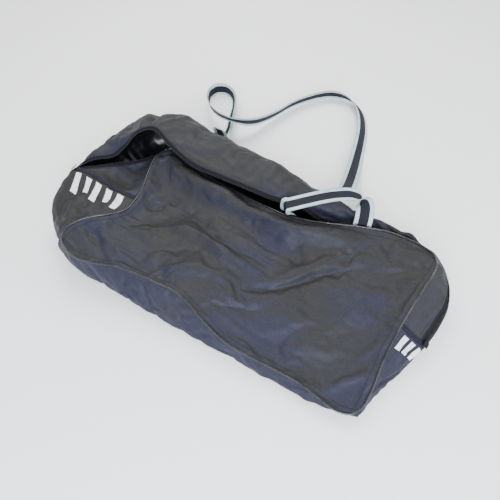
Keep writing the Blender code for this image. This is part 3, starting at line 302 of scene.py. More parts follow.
# ---------------------------------------------------------------- curve arithmetic
def hermite(values, knots, at):
    """Smooth interpolation of rows of values given at increasing knots."""
    values = np.asarray(values, float)
    knots = np.asarray(knots, float)
    step = np.diff(knots)
    column = (-1,) + (1,) * (values.ndim - 1)
    slope = np.diff(values, axis=0) / step.reshape(column)
    tangent = np.empty_like(values)
    tangent[0] = slope[0]
    tangent[-1] = slope[-1]
    before = step[:-1].reshape(column)
    after = step[1:].reshape(column)
    tangent[1:-1] = (slope[:-1] * after + slope[1:] * before) / (before + after)
    at = np.clip(np.atleast_1d(at), knots[0], knots[-1])
    i = np.clip(np.searchsorted(knots, at, side="right") - 1, 0, len(knots) - 2)
    width = step[i].reshape(column)
    t = ((at - knots[i]) / step[i]).reshape(column)
    return (
        (2 * t**3 - 3 * t**2 + 1) * values[i]
        + (t**3 - 2 * t**2 + t) * width * tangent[i]
        + (3 * t**2 - 2 * t**3) * values[i + 1]
        + (t**3 - t**2) * width * tangent[i + 1]
    )


def lengths(points):
    """Distance along a line of points, starting at 0."""
    steps = np.linalg.norm(np.diff(points, axis=0), axis=1)
    return np.concatenate([[0.0], np.cumsum(steps)])


def read_at(distances, along, points):
    """Points read off a line at distances along it."""
    return np.stack([np.interp(distances, along, points[:, k]) for k in range(3)], axis=-1)


def unit(vectors):
    return vectors / np.linalg.norm(vectors, axis=-1, keepdims=True)


def eased(share):
    """Smooth rise from 0 to 1 for shares clipped to that range."""
    share = np.clip(share, 0, 1)
    return share * share * (3 - 2 * share)


def curve(points, count):
    """Evenly spaced points on a smooth curve through the given ones."""
    points = np.asarray(points, float)
    knots = lengths(points)
    dense = hermite(points, knots, np.linspace(0, knots[-1], 12 * len(points)))
    along = lengths(dense)
    even = np.linspace(0, along[-1], count)
    return read_at(even, along, dense)


class Loop:
    """A closed smooth curve that is read by its distance from the first point."""

    def __init__(self, points, count=1200):
        ring = list(points) + [points[0]]
        wrapped = np.asarray([points[-2], points[-1]] + ring + [points[1], points[2]], float)
        knots = lengths(wrapped)
        at = np.linspace(knots[2], knots[-3], count)
        self.dense = hermite(wrapped, knots, at)
        self.along = lengths(self.dense)
        self.length = self.along[-1]

    def nearest(self, point):
        gap = np.linalg.norm(self.dense - np.asarray(point, float), axis=1)
        return self.along[int(np.argmin(gap))]

    def at(self, distance):
        return read_at(np.mod(distance, self.length), self.along, self.dense)


def rounded_rectangle(x_range, y_range, radius, z, per_corner=7, per_side=5):
    """Corner arcs of a rounded rectangle, from the top left one, turning anticlockwise."""
    corners = [
        (x_range[0] + radius, y_range[1] - radius, 90),
        (x_range[0] + radius, y_range[0] + radius, 180),
        (x_range[1] - radius, y_range[0] + radius, 270),
        (x_range[1] - radius, y_range[1] - radius, 0),
    ]
    points = []
    for index, (cx, cy, start) in enumerate(corners):
        for k in range(per_corner):
            turn = math.radians(start + 90 * k / (per_corner - 1))
            points.append((cx + radius * math.cos(turn), cy + radius * math.sin(turn), z))
        after = corners[(index + 1) % 4]
        angle = math.radians(start + 90)
        here = np.array([cx + radius * math.cos(angle), cy + radius * math.sin(angle), z])
        there = np.array([after[0] + radius * math.cos(angle), after[1] + radius * math.sin(angle), z])
        for k in range(1, per_side + 1):
            points.append(tuple(here + (there - here) * k / (per_side + 1)))
    return points


def unwrap(distances, length):
    """Distances along a loop, made to run steadily one way through its start."""
    out = [distances[0]]
    for value in distances[1:]:
        step = (value - out[-1] + length / 2) % length - length / 2
        out.append(out[-1] + step)
    return np.array(out)


FRONT_LOOP_SEAM = Loop(FRONT_SEAM)
BACK_LOOP_SEAM = Loop(rounded_rectangle(BACK_HALF_X, BACK_HALF_Y, BACK_CORNER, BACK_SEAM_Z))


def net(stations, along, front=None, back=None, across=60):
    """Rows of closely spaced points through the stations, with ends exactly on the seams."""
    stations = np.asarray(stations, float)
    gaps = np.linalg.norm(np.diff(stations, axis=0), axis=2).mean(axis=1)
    knots = np.concatenate([[0.0], np.cumsum(gaps)])
    at = np.linspace(0, knots[-1], along)
    rows = hermite(stations, knots, at)
    for seam, column in ((front, 0), (back, -1)):
        if seam is None:
            continue
        marks = unwrap([seam.nearest(p) for p in stations[:, column]], seam.length)
        rows[:, column] = seam.at(hermite(marks, knots, at))
    return np.stack([curve(row, across) for row in rows])


def sliced(rows, start, end, count):
    """The stretch of every row between two distances from its ends, evenly spaced."""
    out = []
    for row, first, last in zip(rows, np.broadcast_to(start, len(rows)), np.broadcast_to(end, len(rows))):
        along = lengths(row)
        even = np.linspace(first, along[-1] - last, count)
        out.append(read_at(even, along, row))
    return np.stack(out)


def front_surface(along=60, across=60):
    """Front panel: a patch between four stretches of its seam, with a raised rolled top edge."""
    seam = FRONT_LOOP_SEAM
    marks = unwrap([seam.nearest(p) for p in FRONT_CORNERS + FRONT_CORNERS[:1]], seam.length)
    bottom = seam.at(np.linspace(marks[0], marks[1], along))
    right = seam.at(np.linspace(marks[1], marks[2], across))
    top = seam.at(np.linspace(marks[3], marks[2], along))
    left = seam.at(np.linspace(marks[4], marks[3], across))
    u = np.linspace(0, 1, along)[:, None, None]
    v = np.linspace(0, 1, across)[None, :, None]
    grid = (1 - v) * bottom[:, None] + v * top[:, None] + (1 - u) * left[None] + u * right[None]
    grid -= (1 - u) * (1 - v) * bottom[0] + u * (1 - v) * bottom[-1] + (1 - u) * v * top[0] + u * v * top[-1]
    lift = FRONT_BILLOW * np.sin(math.pi * u) ** 0.6 * np.sin(math.pi * v)
    roll = ROLL_LIFT * np.exp(-(((v - 0.90) / 0.085) ** 2)) * np.clip((0.80 - u) / 0.2, 0, 1)
    roll *= np.clip(u / 0.10, 0, 1) * np.clip((1 - v) / 0.06, 0, 1)
    grid[:, :, 2:] += lift + roll
    return grid


# ---------------------------------------------------------------- folds and wrinkles
# Folds of the front panel: route over the panel, height (+ridge, -crease), half width.
FRONT_FOLDS = [
    ([(-0.360, -0.150), (-0.300, -0.065), (-0.235, -0.012), (-0.155, 0.008), (-0.060, -0.018),
      (0.040, -0.012)], 0.017, 0.030),
    ([(-0.350, 0.005), (-0.322, 0.057), (-0.290, 0.105)], -0.010, 0.013),
    ([(-0.310, 0.065), (-0.205, 0.056), (-0.145, 0.034), (-0.062, 0.014), (0.010, 0.006)], -0.009, 0.014),
    ([(0.020, -0.100), (0.080, -0.062), (0.132, -0.025), (0.196, 0.048), (0.295, 0.134)], -0.010, 0.013),
    ([(0.028, -0.060), (0.110, -0.012), (0.170, 0.062), (0.215, 0.120), (0.300, 0.175)], 0.012, 0.026),
    ([(0.234, 0.090), (0.262, 0.165), (0.300, 0.225)], -0.006, 0.011),
    ([(0.000, -0.072), (0.040, -0.100), (0.088, -0.122)], -0.007, 0.009),
    ([(0.024, -0.156), (0.070, -0.132), (0.118, -0.118)], -0.005, 0.009),
    ([(-0.452, -0.145), (-0.400, -0.158), (-0.350, -0.178)], -0.009, 0.016),
    ([(-0.430, 0.188), (-0.405, 0.205), (-0.385, 0.218)], -0.006, 0.009),
    ([(-0.150, -0.180), (-0.120, -0.120), (-0.070, -0.060)], 0.007, 0.030),
    ([(0.330, -0.200), (0.300, -0.100), (0.330, 0.020), (0.380, 0.120)], 0.006, 0.040),
    ([(0.180, -0.200), (0.220, -0.120), (0.270, -0.050)], -0.005, 0.020),
    ([(-0.260, -0.180), (-0.230, -0.100), (-0.160, -0.050)], -0.006, 0.022),
    ([(-0.330, 0.215), (-0.270, 0.150), (-0.240, 0.090)], 0.005, 0.020),
    ([(-0.050, 0.150), (-0.020, 0.090), (0.060, 0.060)], -0.005, 0.022),
    ([(0.090, 0.140), (0.120, 0.080), (0.160, 0.050)], -0.005, 0.016),
    ([(-0.130, 0.160), (-0.160, 0.110), (-0.140, 0.070)], 0.004, 0.018),
]
# Folds of the gusset and the flap: route in the panel's own share along and across.
LEFT_FOLDS = [
    ([(0.10, 0.10), (0.32, 0.22), (0.60, 0.30)], -0.008, 0.030),
    ([(0.16, 0.30), (0.40, 0.42), (0.66, 0.44)], -0.008, 0.030),
    ([(0.12, 0.52), (0.36, 0.56), (0.62, 0.58)], 0.007, 0.035),
    ([(0.30, 0.66), (0.52, 0.70), (0.80, 0.66)], -0.007, 0.030),
    ([(0.04, 0.18), (0.05, 0.50), (0.04, 0.66)], 0.005, 0.025),
    ([(0.50, 0.06), (0.70, 0.14), (0.92, 0.20)], -0.006, 0.030),
]
BOTTOM_FOLDS = [
    ([(0.255, 0.04), (0.262, 0.50), (0.275, 0.92)], -0.006, 0.010),
    ([(0.310, 0.04), (0.345, 0.50), (0.380, 0.90)], -0.007, 0.012),
    ([(0.130, 0.10), (0.160, 0.50), (0.170, 0.92)], -0.004, 0.012),
    ([(0.440, 0.10), (0.470, 0.60), (0.480, 0.92)], -0.004, 0.014),
    ([(0.560, 0.10), (0.640, 0.55), (0.720, 0.60)], -0.003, 0.020),
    ([(0.200, 0.55), (0.300, 0.62), (0.420, 0.52)], 0.004, 0.020),
]
RIGHT_FOLDS = [
    ([(0.30, 0.10), (0.50, 0.40), (0.80, 0.55)], -0.005, 0.030),
    ([(0.45, 0.60), (0.65, 0.70), (0.92, 0.72)], 0.005, 0.030),
    ([(0.75, 0.10), (0.85, 0.40), (0.95, 0.60)], -0.004, 0.025),
]
FLAP_FOLDS = [
    ([(0.330, 0.15), (0.350, 0.40), (0.372, 0.70)], -0.006, 0.012),
    ([(0.420, 0.12), (0.430, 0.34), (0.470, 0.62)], -0.005, 0.014),
    ([(0.505, 0.10), (0.520, 0.36), (0.560, 0.60)], 0.006, 0.014),
    ([(0.590, 0.10), (0.600, 0.30), (0.640, 0.55)], -0.007, 0.012),
    ([(0.680, 0.08), (0.690, 0.30), (0.700, 0.62)], -0.008, 0.010),
    ([(0.740, 0.06), (0.745, 0.30), (0.740, 0.60)], 0.006, 0.012),
    ([(0.790, 0.06), (0.800, 0.30), (0.790, 0.60)], -0.008, 0.010),
    ([(0.850, 0.06), (0.850, 0.30), (0.850, 0.60)], -0.007, 0.010),
    ([(0.910, 0.10), (0.900, 0.40), (0.900, 0.70)], 0.005, 0.012),
    ([(0.160, 0.30), (0.180, 0.50), (0.170, 0.80)], -0.005, 0.014),
    ([(0.090, 0.30), (0.110, 0.50), (0.100, 0.80)], 0.004, 0.014),
    ([(0.240, 0.45), (0.330, 0.52), (0.440, 0.50)], 0.005, 0.050),
]


def smooth_noise(points, size, seed):
    """Soft random values about 0 over rows of 2D or 3D points, with bumps of the given size."""
    rng = np.random.default_rng(seed)
    points = np.asarray(points, float)
    total = np.zeros(points.shape[:-1])
    for _ in range(NOISE_WAVES):
        direction = rng.normal(size=points.shape[-1])
        direction *= rng.uniform(0.6, 1.5) / np.linalg.norm(direction)
        total += np.sin(points @ direction * 2 * math.pi / size + rng.uniform(0, 2 * math.pi))
    return total / math.sqrt(NOISE_WAVES)


def distance_to(route, points):
    """Distance of 2D points from a line through the route, and the share along it."""
    route = np.asarray(route, float)
    best = np.full(points.shape[:-1], 1e9)
    share = np.zeros(points.shape[:-1])
    total = len(route) - 1
    for k in range(total):
        start, step = route[k], route[k + 1] - route[k]
        t = np.clip(((points - start) @ step) / (step @ step), 0, 1)
        gap = np.linalg.norm(points - (start + t[..., None] * step), axis=-1)
        share = np.where(gap < best, (k + t) / total, share)
        best = np.minimum(best, gap)
    return best, share


def folded(points, folds):
    """Height of all the folds at rows of 2D points; each fold fades towards its ends."""
    height = np.zeros(points.shape[:-1])
    for index, (route, tall, half) in enumerate(folds):
        wander = 0.35 * half * smooth_noise(points, 5 * half, 50 + index)
        gap, share = distance_to(curve2(route), points)
        fade = eased(np.clip(share / FOLD_FADE, 0, 1) * np.clip((1 - share) / FOLD_FADE, 0, 1))
        height += tall * fade * np.exp(-np.abs((gap + wander) / half) ** 1.6)
    return height


def curve2(points):
    """Smooth 2D line through a few points."""
    points = np.asarray(points, float)
    knots = lengths(points)
    return hermite(points, knots, np.linspace(0, knots[-1], 6 * len(points)))


def grid_normals(grid):
    """Unit normals of a surface given as rows of points."""
    across = np.gradient(grid, axis=1)
    along = np.gradient(grid, axis=0)
    normal = np.cross(along, across)
    return normal / np.maximum(np.linalg.norm(normal, axis=2, keepdims=True), 1e-9)


def faces_inward(grid):
    """True when the grid's normals point into the bag."""
    outward = grid - np.array(INSIDE)
    return float((grid_normals(grid) * outward).sum(axis=2).mean()) < 0


def outer_normals(grid):
    return grid_normals(grid) * (-1 if faces_inward(grid) else 1)


def grid_lengths(grid):
    """Distance along and across a surface at each of its points."""
    across = np.stack([lengths(row) for row in grid])
    along = np.stack([lengths(grid[:, c]) for c in range(grid.shape[1])], axis=1)
    return along, across


def edge_fade(grid):
    """0 on the grid's edge, rising to 1 a short way inside it."""
    along, across = grid_lengths(grid)
    gap = np.minimum(np.minimum(across, across[:, -1:] - across), np.minimum(along, along[-1:] - along))
    return eased(gap / SEAM_REACH)


def even_shares(rows, columns):
    """Shares along and across at every point of a grid."""
    return np.stack(np.meshgrid(np.linspace(0, 1, rows), np.linspace(0, 1, columns), indexing="ij"), axis=-1)


# ---------------------------------------------------------------- materials
class Finish:
    """A new material, with short ways to add the nodes that feed its shader."""

    def __init__(self, name):
        self.made = bpy.data.materials.new(name)
        self.made.use_nodes = True
        self.nodes = self.made.node_tree.nodes
        self.links = self.made.node_tree.links
        self.inputs = self.nodes["Principled BSDF"].inputs
        self.normal = None

    def feed(self, value, socket):
        """Sets a number or a colour on a socket, or links another node's output to it."""
        if isinstance(value, (int, float)):
            socket.default_value = value
        elif isinstance(value, tuple):
            socket.default_value = (*value, 1.0)
        else:
            self.links.new(value, socket)

    def noise(self, scale, detail, rough):
        made = self.nodes.new("ShaderNodeTexNoise")
        made.inputs["Scale"].default_value = scale
        made.inputs["Detail"].default_value = detail
        made.inputs["Roughness"].default_value = rough
        place = self.nodes.new("ShaderNodeTexCoord").outputs["Object"]
        self.links.new(place, made.inputs["Vector"])
        return made.outputs["Fac"]

    def ramp(self, value, *stops):
        """Colours, or greys given as one number, at their places from 0 to 1."""
        made = self.nodes.new("ShaderNodeValToRGB")
        elements = made.color_ramp.elements
        while len(elements) < len(stops):
            elements.new(0.5)
        for element, (place, colour) in zip(elements, stops):
            if not isinstance(colour, tuple):
                colour = (colour,) * 3
            element.position = place
            element.color = (*colour, 1.0)
        self.links.new(value, made.inputs["Fac"])
        return made.outputs["Color"]

    def math(self, operation, *values):
        made = self.nodes.new("ShaderNodeMath")
        made.operation = operation
        for value, socket in zip(values, made.inputs):
            self.feed(value, socket)
        return made.outputs["Value"]

    def mix(self, factor, first, second, blend="MIX"):
        made = self.nodes.new("ShaderNodeMix")
        made.data_type = "RGBA"
        made.blend_type = blend
        self.feed(factor, made.inputs[0])
        self.feed(first, made.inputs[6])
        self.feed(second, made.inputs[7])
        return made.outputs[2]

    def bump(self, height, strength, distance):
        """Adds a bump on top of those that are already there."""
        made = self.nodes.new("ShaderNodeBump")
        made.inputs["Strength"].default_value = strength
        made.inputs["Distance"].default_value = distance
        self.links.new(height, made.inputs["Height"])
        if self.normal is not None:
            self.links.new(self.normal, made.inputs["Normal"])
        self.normal = made.outputs["Normal"]
        self.links.new(self.normal, self.inputs["Normal"])


def weave_height(paint, coords, threads):
    """Height of a plain weave with that many threads a metre."""
    waves = []
    for direction in ("X", "Y"):
        wave = paint.nodes.new("ShaderNodeTexWave")
        wave.wave_type = "BANDS"
        wave.bands_direction = direction
        wave.inputs["Scale"].default_value = threads / 20
        wave.inputs["Distortion"].default_value = 0.6
        wave.inputs["Detail"].default_value = 1.0
        paint.links.new(coords, wave.inputs["Vector"])
        waves.append(wave.outputs["Fac"])
    return paint.math("MULTIPLY", *waves)


def polyester_material():
    """Coated black polyester with dusty scuffs; painted light sets its tone: warm dark grey on top, a painted
    blue sheen low down.
    """
    paint = Finish("coated_polyester")
    uv = paint.nodes.new("ShaderNodeUVMap").outputs["UV"]
    painted_blue = paint.nodes.new("ShaderNodeAttribute")
    painted_blue.attribute_name = "painted_blue_light"
    wide = paint.noise(7.0, 3.0, 0.55)
    fine = paint.noise(260.0, 3.0, 0.7)
    mottle = paint.noise(38.0, 5.0, 0.65)
    dust = paint.noise(16.0, 8.0, 0.75)
    # Painted blue light: the attribute moves the colour from warm grey to blue where the cool light falls;
    # the wide noise is random tone.
    share = paint.math("ADD", paint.math("MULTIPLY_ADD", wide, 0.7, -0.35), painted_blue.outputs["Fac"])
    tone = paint.ramp(share, (0.00, (0.0190, 0.0183, 0.0180)), (0.35, (0.0200, 0.0201, 0.0240)),
                      (0.65, (0.0178, 0.0188, 0.0330)), (1.00, (0.0150, 0.0166, 0.0320)))
    grain = paint.ramp(fine, (0.30, (0.70, 0.70, 0.72)), (0.72, 1.30))
    colour = paint.mix(1.0, tone, grain, "MULTIPLY")
    dusty = paint.ramp(dust, (0.62, 0.0), (0.84, 0.22))
    paint.feed(paint.mix(dusty, colour, (0.036, 0.036, 0.042)), paint.inputs["Base Color"])
    paint.feed(paint.ramp(mottle, (0.25, 0.50), (0.80, 0.68)), paint.inputs["Roughness"])
    paint.inputs["Specular IOR Level"].default_value = 0.24
    paint.inputs["Sheen Weight"].default_value = 0.025
    paint.inputs["Sheen Roughness"].default_value = 0.45
    paint.inputs["Sheen Tint"].default_value = (0.55, 0.60, 0.95, 1.0)
    paint.bump(weave_height(paint, uv, 1500.0), 0.35, 0.0004)
    paint.bump(mottle, 0.22, 0.0016)
    paint.bump(fine, 0.20, 0.0005)
    return paint.made


def lining_material():
    """Shiny waterproof coating on the inside."""
    paint = Finish("inner_coating")
    mottle = paint.noise(45.0, 4.0, 0.6)
    tone = paint.ramp(mottle, (0.3, (0.0055, 0.0055, 0.0065)), (0.75, (0.011, 0.011, 0.014)))
    paint.feed(tone, paint.inputs["Base Color"])
    paint.feed(paint.ramp(mottle, (0.3, 0.24), (0.8, 0.42)), paint.inputs["Roughness"])
    paint.bump(mottle, 0.35, 0.0015)
    return paint.made


def piping_material():
    """Glossy black vinyl cord, a little scuffed."""
    paint = Finish("vinyl_piping")
    scuff = paint.noise(90.0, 6.0, 0.7)
    tone = paint.ramp(scuff, (0.35, (0.004, 0.004, 0.005)), (0.78, (0.012, 0.012, 0.014)))
    paint.feed(tone, paint.inputs["Base Color"])
    paint.feed(paint.ramp(scuff, (0.3, 0.20), (0.8, 0.42)), paint.inputs["Roughness"])
    paint.inputs["Coat Weight"].default_value = 0.35
    paint.inputs["Coat Roughness"].default_value = 0.18
    paint.bump(scuff, 0.25, 0.0006)
    return paint.made


def webbing_material():
    """Woven strap: dark diagonal twill in the middle, pale icy blue bands along both edges."""
    paint = Finish("striped_webbing")
    parts = paint.nodes.new("ShaderNodeSeparateXYZ")
    paint.links.new(paint.nodes.new("ShaderNodeUVMap").outputs["UV"], parts.inputs["Vector"])
    along, across = parts.outputs["X"], parts.outputs["Y"]
    turn = 6.2832
    off = paint.math("ABSOLUTE", paint.math("SUBTRACT", across, 0.5))
    band = paint.ramp(off, (0.262, 0.0), (0.275, 1.0), (0.470, 1.0), (0.486, 0.55))
    slant = paint.math("MULTIPLY_ADD", across, 7.0, paint.math("MULTIPLY", along, 190.0))
    rib = paint.math("SINE", paint.math("MULTIPLY", slant, turn))
    thread = paint.math("SINE", paint.math("MULTIPLY", along, turn * 620.0))
    cross = paint.math("SINE", paint.math("MULTIPLY", across, turn * 26.0))
    dark = paint.ramp(paint.math("MULTIPLY_ADD", rib, 0.5, 0.5),
                      (0.20, (0.004, 0.004, 0.006)), (0.80, (0.026, 0.029, 0.038)))
    pale = paint.ramp(paint.noise(30.0, 6.0, 0.7), (0.30, (0.36, 0.47, 0.52)),
                      (0.55, (0.50, 0.62, 0.66)), (0.80, (0.64, 0.72, 0.74)))
    paint.feed(paint.mix(band, dark, pale), paint.inputs["Base Color"])
    paint.inputs["Roughness"].default_value = 0.78
    paint.inputs["Specular IOR Level"].default_value = 0.15
    paint.inputs["Sheen Weight"].default_value = 0.02
    paint.inputs["Sheen Roughness"].default_value = 0.5
    paint.bump(rib, 0.5, 0.0005)
    paint.bump(paint.math("MULTIPLY", thread, cross), 0.5, 0.0003)
    return paint.made


def plain_material(name, colour, roughness, metallic=0.0, grain=120.0, depth=0.0004, shine=0.5):
    """A plain finish with a little variation in its colour, roughness and surface."""
    paint = Finish(name)
    noise = paint.noise(grain, 5.0, 0.65)
    low = tuple(0.75 * c for c in colour)
    high = tuple(min(1.0, 1.25 * c) for c in colour)
    paint.feed(paint.ramp(noise, (0.3, low), (0.75, high)), paint.inputs["Base Color"])
    rough = paint.ramp(noise, (0.3, roughness * 0.85), (0.8, min(1, roughness * 1.2)))
    paint.feed(rough, paint.inputs["Roughness"])
    paint.inputs["Metallic"].default_value = metallic
    paint.inputs["Specular IOR Level"].default_value = shine
    paint.bump(noise, 0.3, depth)
    return paint.made


# ---------------------------------------------------------------- meshes
def shown(name, data, *finishes):
    """Smooth object in the scene, made of a mesh and its materials."""
    data.shade_smooth()
    made = bpy.data.objects.new(name, data)
    bpy.context.scene.collection.objects.link(made)
    for finish in finishes:
        data.materials.append(finish)
    return made


def grid_object(name, grid, finishes, uv=None, flip=False):
    """Surface of quads over a grid of points, with a map in metres along and across."""
    rows, columns = grid.shape[:2]
    index = np.arange(rows * columns).reshape(rows, columns)
    quads = np.stack([index[:-1, :-1], index[1:, :-1], index[1:, 1:], index[:-1, 1:]], axis=-1).reshape(-1, 4)
    if flip:
        quads = quads[:, ::-1]
    data = bpy.data.meshes.new(name)
    data.from_pydata(grid.reshape(-1, 3).tolist(), [], quads.tolist())
    if uv is None:
        uv = np.stack(grid_lengths(grid), axis=-1)
    layer = data.uv_layers.new(name="UVMap")
    layer.data.foreach_set("uv", uv.reshape(-1, 2)[quads.reshape(-1)].reshape(-1))
    return shown(name, data, *finishes)


def coordinates(data, field, values):
    """Reads one vector for each vertex from a mesh into rows of three."""
    flat = np.zeros(len(data.vertices) * 3)
    values.foreach_get(field, flat)
    return flat.reshape(-1, 3)


def painted_blue_light_attribute(piece, painted_light_bias=0.0):
    """Painted blue light at each point: most where the cloth leans down towards -Y and on the near side, plus
    random patches of tone.
    """
    data = piece.data
    normal = coordinates(data, "vector", data.vertex_normals)
    place = coordinates(data, "co", data.vertices)
    # Painted light: faces leaning towards -Y and places on the near side get more blue, as the cool light
    # falls there; the patches are random tone.
    lean = PAINTED_BLUE_LEAN * np.clip(-normal[:, 1] + 0.2 * normal[:, 0], -0.6, 1)
    low = PAINTED_BLUE_LOW * np.clip(-place[:, 1] / 0.26, -0.6, 1)
    patch = BLUE_PATCH_TONE * smooth_noise(place[:, :2], 0.30, 77)
    value = np.clip(PAINTED_BLUE_REST + painted_light_bias + lean + low + patch, 0, 1)
    layer = data.attributes.new("painted_blue_light", "FLOAT", "POINT")
    layer.data.foreach_set("value", value.astype(np.float32))


def baked(piece):
    """Replaces the mesh with what its modifiers make of it."""
    graph = bpy.context.evaluated_depsgraph_get()
    made = bpy.data.meshes.new_from_object(piece.evaluated_get(graph))
    piece.modifiers.clear()
    piece.data = made


def relax(piece, shape, spare, frames):
    """Lets a panel sewn down round its edge crumple with a little spare cloth."""
    rows, columns = shape
    index = np.arange(rows * columns).reshape(rows, columns)
    edge = np.unique(np.concatenate([index[0], index[-1], index[:, 0], index[:, -1]]))
    group = piece.vertex_groups.new(name="sewn")
    group.add(edge.tolist(), 1.0, "REPLACE")
    cloth = piece.modifiers.new("cloth", "CLOTH")
    settings = cloth.settings
    settings.quality = 5
    settings.mass = 0.12
    settings.tension_stiffness = 25
    settings.compression_stiffness = 25
    settings.shear_stiffness = 12
    settings.bending_stiffness = 2.5
    settings.air_damping = 4
    settings.vertex_group_mass = "sewn"
    settings.shrink_min = -spare
    settings.effector_weights.gravity = 0.1
    cloth.collision_settings.use_collision = False
    cloth.point_cache.frame_start = 1
    cloth.point_cache.frame_end = frames
    scene = bpy.context.scene
    for frame_number in range(1, frames + 1):
        scene.frame_set(frame_number)
    baked(piece)
    scene.frame_set(1)
    piece.vertex_groups.clear()


def shell(piece, thickness, offset=-1.0):
    """Gives a surface its thickness, with the lining on the inner side."""
    made = piece.modifiers.new("thickness", "SOLIDIFY")
    made.thickness = thickness
    made.offset = offset
    made.material_offset = 1
    made.material_offset_rim = 0
    made.use_quality_normals = True


def tube_mesh(name, points, radius, finish, closed=False, sides=8):
    """Round cord of the given radius along a line of points."""
    points = np.asarray(points, float)
    heading = np.gradient(points, axis=0)
    if closed:
        heading = np.roll(points, -1, axis=0) - np.roll(points, 1, axis=0)
    heading = unit(heading)
    up = np.array([0.0, 0.0, 1.0]) - heading * heading[:, 2:]
    weak = np.linalg.norm(up, axis=1) < 0.2
    up[weak] = np.array([0.0, 1.0, 0.0]) - heading[weak] * heading[weak][:, 1:2]
    up = unit(up)
    side = np.cross(heading, up)
    angles = np.linspace(0, 2 * math.pi, sides, endpoint=False)
    ring = up[:, None] * np.cos(angles)[None, :, None] + side[:, None] * np.sin(angles)[None, :, None]
    grid = points[:, None] + radius * ring
    grid = np.concatenate([grid, grid[:, :1]], axis=1)
    if closed:
        grid = np.concatenate([grid, grid[:1]], axis=0)
    made = grid_object(name, grid, [finish])
    mesh = bmesh.new()
    mesh.from_mesh(made.data)
    bmesh.ops.remove_doubles(mesh, verts=mesh.verts, dist=1e-6)
    if not closed:
        bmesh.ops.holes_fill(mesh, edges=[e for e in mesh.edges if e.is_boundary], sides=sides + 2)
    bmesh.ops.recalc_face_normals(mesh, faces=mesh.faces)
    mesh.to_mesh(made.data)
    mesh.free()
    return made


def small_blocks(name, centres, headings, normals, size, finish):
    """Many small rounded blocks, such as stitches or teeth, as one mesh."""
    centres = np.asarray(centres, float)
    headings = unit(headings)
    normals = unit(normals - (normals * headings).sum(1, keepdims=True) * headings)
    sides = np.cross(normals, headings)
    corners = [(-1, -0.6, -1), (-1, 0.6, -1), (-1, 0.6, 0.2), (-1, -0.6, 0.2),
               (-0.5, -1, -1), (-0.5, 1, -1), (-0.5, 1, 1), (-0.5, -1, 1),
               (0.5, -1, -1), (0.5, 1, -1), (0.5, 1, 1), (0.5, -1, 1),
               (1, -0.6, -1), (1, 0.6, -1), (1, 0.6, 0.2), (1, -0.6, 0.2)]
    faces = [(3, 2, 1, 0), (12, 13, 14, 15)]
    for k in range(3):
        a = 4 * k
        b = a + 4
        faces += [(a, a + 1, b + 1, b), (a + 1, a + 2, b + 2, b + 1),
                  (a + 2, a + 3, b + 3, b + 2), (a + 3, a, b, b + 3)]
    corners = np.array(corners) * np.array(size) / 2
    verts = (centres[:, None] + headings[:, None] * corners[None, :, :1]
             + sides[:, None] * corners[None, :, 1:2] + normals[:, None] * corners[None, :, 2:])
    every = [tuple(16 * i + v for v in face) for i in range(len(centres)) for face in faces]
    data = bpy.data.meshes.new(name)
    data.from_pydata(verts.reshape(-1, 3).tolist(), [], every)
    return shown(name, data, finish)


def stitch_row(line, normals):
    """Row of stitches along a line lying on a surface."""
    along = lengths(line)
    marks = np.arange(STITCH, along[-1] - STITCH, STITCH + STITCH_GAP)
    centres = read_at(marks, along, line)
    ahead = read_at(marks + STITCH / 2, along, line)
    up = read_at(marks, along, normals)
    size = (STITCH, STITCH_THICK, STITCH_THICK)
    return small_blocks("stitches", centres + up * 0.0001, ahead - centres, up, size, THREAD)


def joined(name, pieces):
    """One object out of several meshes."""
    bpy.ops.object.select_all(action="DESELECT")
    for piece in pieces:
        piece.select_set(True)
    bpy.context.view_layer.objects.active = pieces[0]
    if len(pieces) > 1:
        bpy.ops.object.join()
    pieces[0].name = name
    return pieces[0]


def surface_of(piece, shape):
    """The grid of points of a piece built on a grid."""
    return coordinates(piece.data, "co", piece.data.vertices).reshape(*shape, 3)


def at_share(grid, along, across):
    """Points and outward normals on a grid at shares along and across it."""
    r = np.clip(np.asarray(along, float) * (grid.shape[0] - 1), 0, grid.shape[0] - 1.001)
    c = np.clip(np.asarray(across, float) * (grid.shape[1] - 1), 0, grid.shape[1] - 1.001)
    i, j = r.astype(int), c.astype(int)
    a, b = (r - i)[..., None], (c - j)[..., None]
    out = []
    for field in (grid, outer_normals(grid)):
        out.append((1 - a) * (1 - b) * field[i, j] + a * (1 - b) * field[i + 1, j]
                   + (1 - a) * b * field[i, j + 1] + a * b * field[i + 1, j + 1])
    return out


# ---------------------------------------------------------------- scene: camera, floor and light
def build_camera():
    heading, drop, roll = (math.radians(v) for v in (CAMERA_HEADING, CAMERA_DROP, CAMERA_ROLL))
    level = math.cos(drop)
    forward = Vector((level * math.cos(heading), level * math.sin(heading), -math.sin(drop)))
    right = Vector((math.sin(heading), -math.cos(heading), 0.0))
    up = right.cross(forward)
    right, up = math.cos(roll) * right + math.sin(roll) * up, math.cos(roll) * up - math.sin(roll) * right
    data = bpy.data.cameras.new("camera")
    data.lens = 36
    data.sensor_width = 36
    data.sensor_fit = "HORIZONTAL"
    data.clip_start = 0.05
    made = bpy.data.objects.new("camera", data)
    made.matrix_world = Matrix.Translation(CAMERA_PLACE) @ Matrix((right, up, -forward)).transposed().to_4x4()
    bpy.context.scene.collection.objects.link(made)
    bpy.context.scene.camera = made


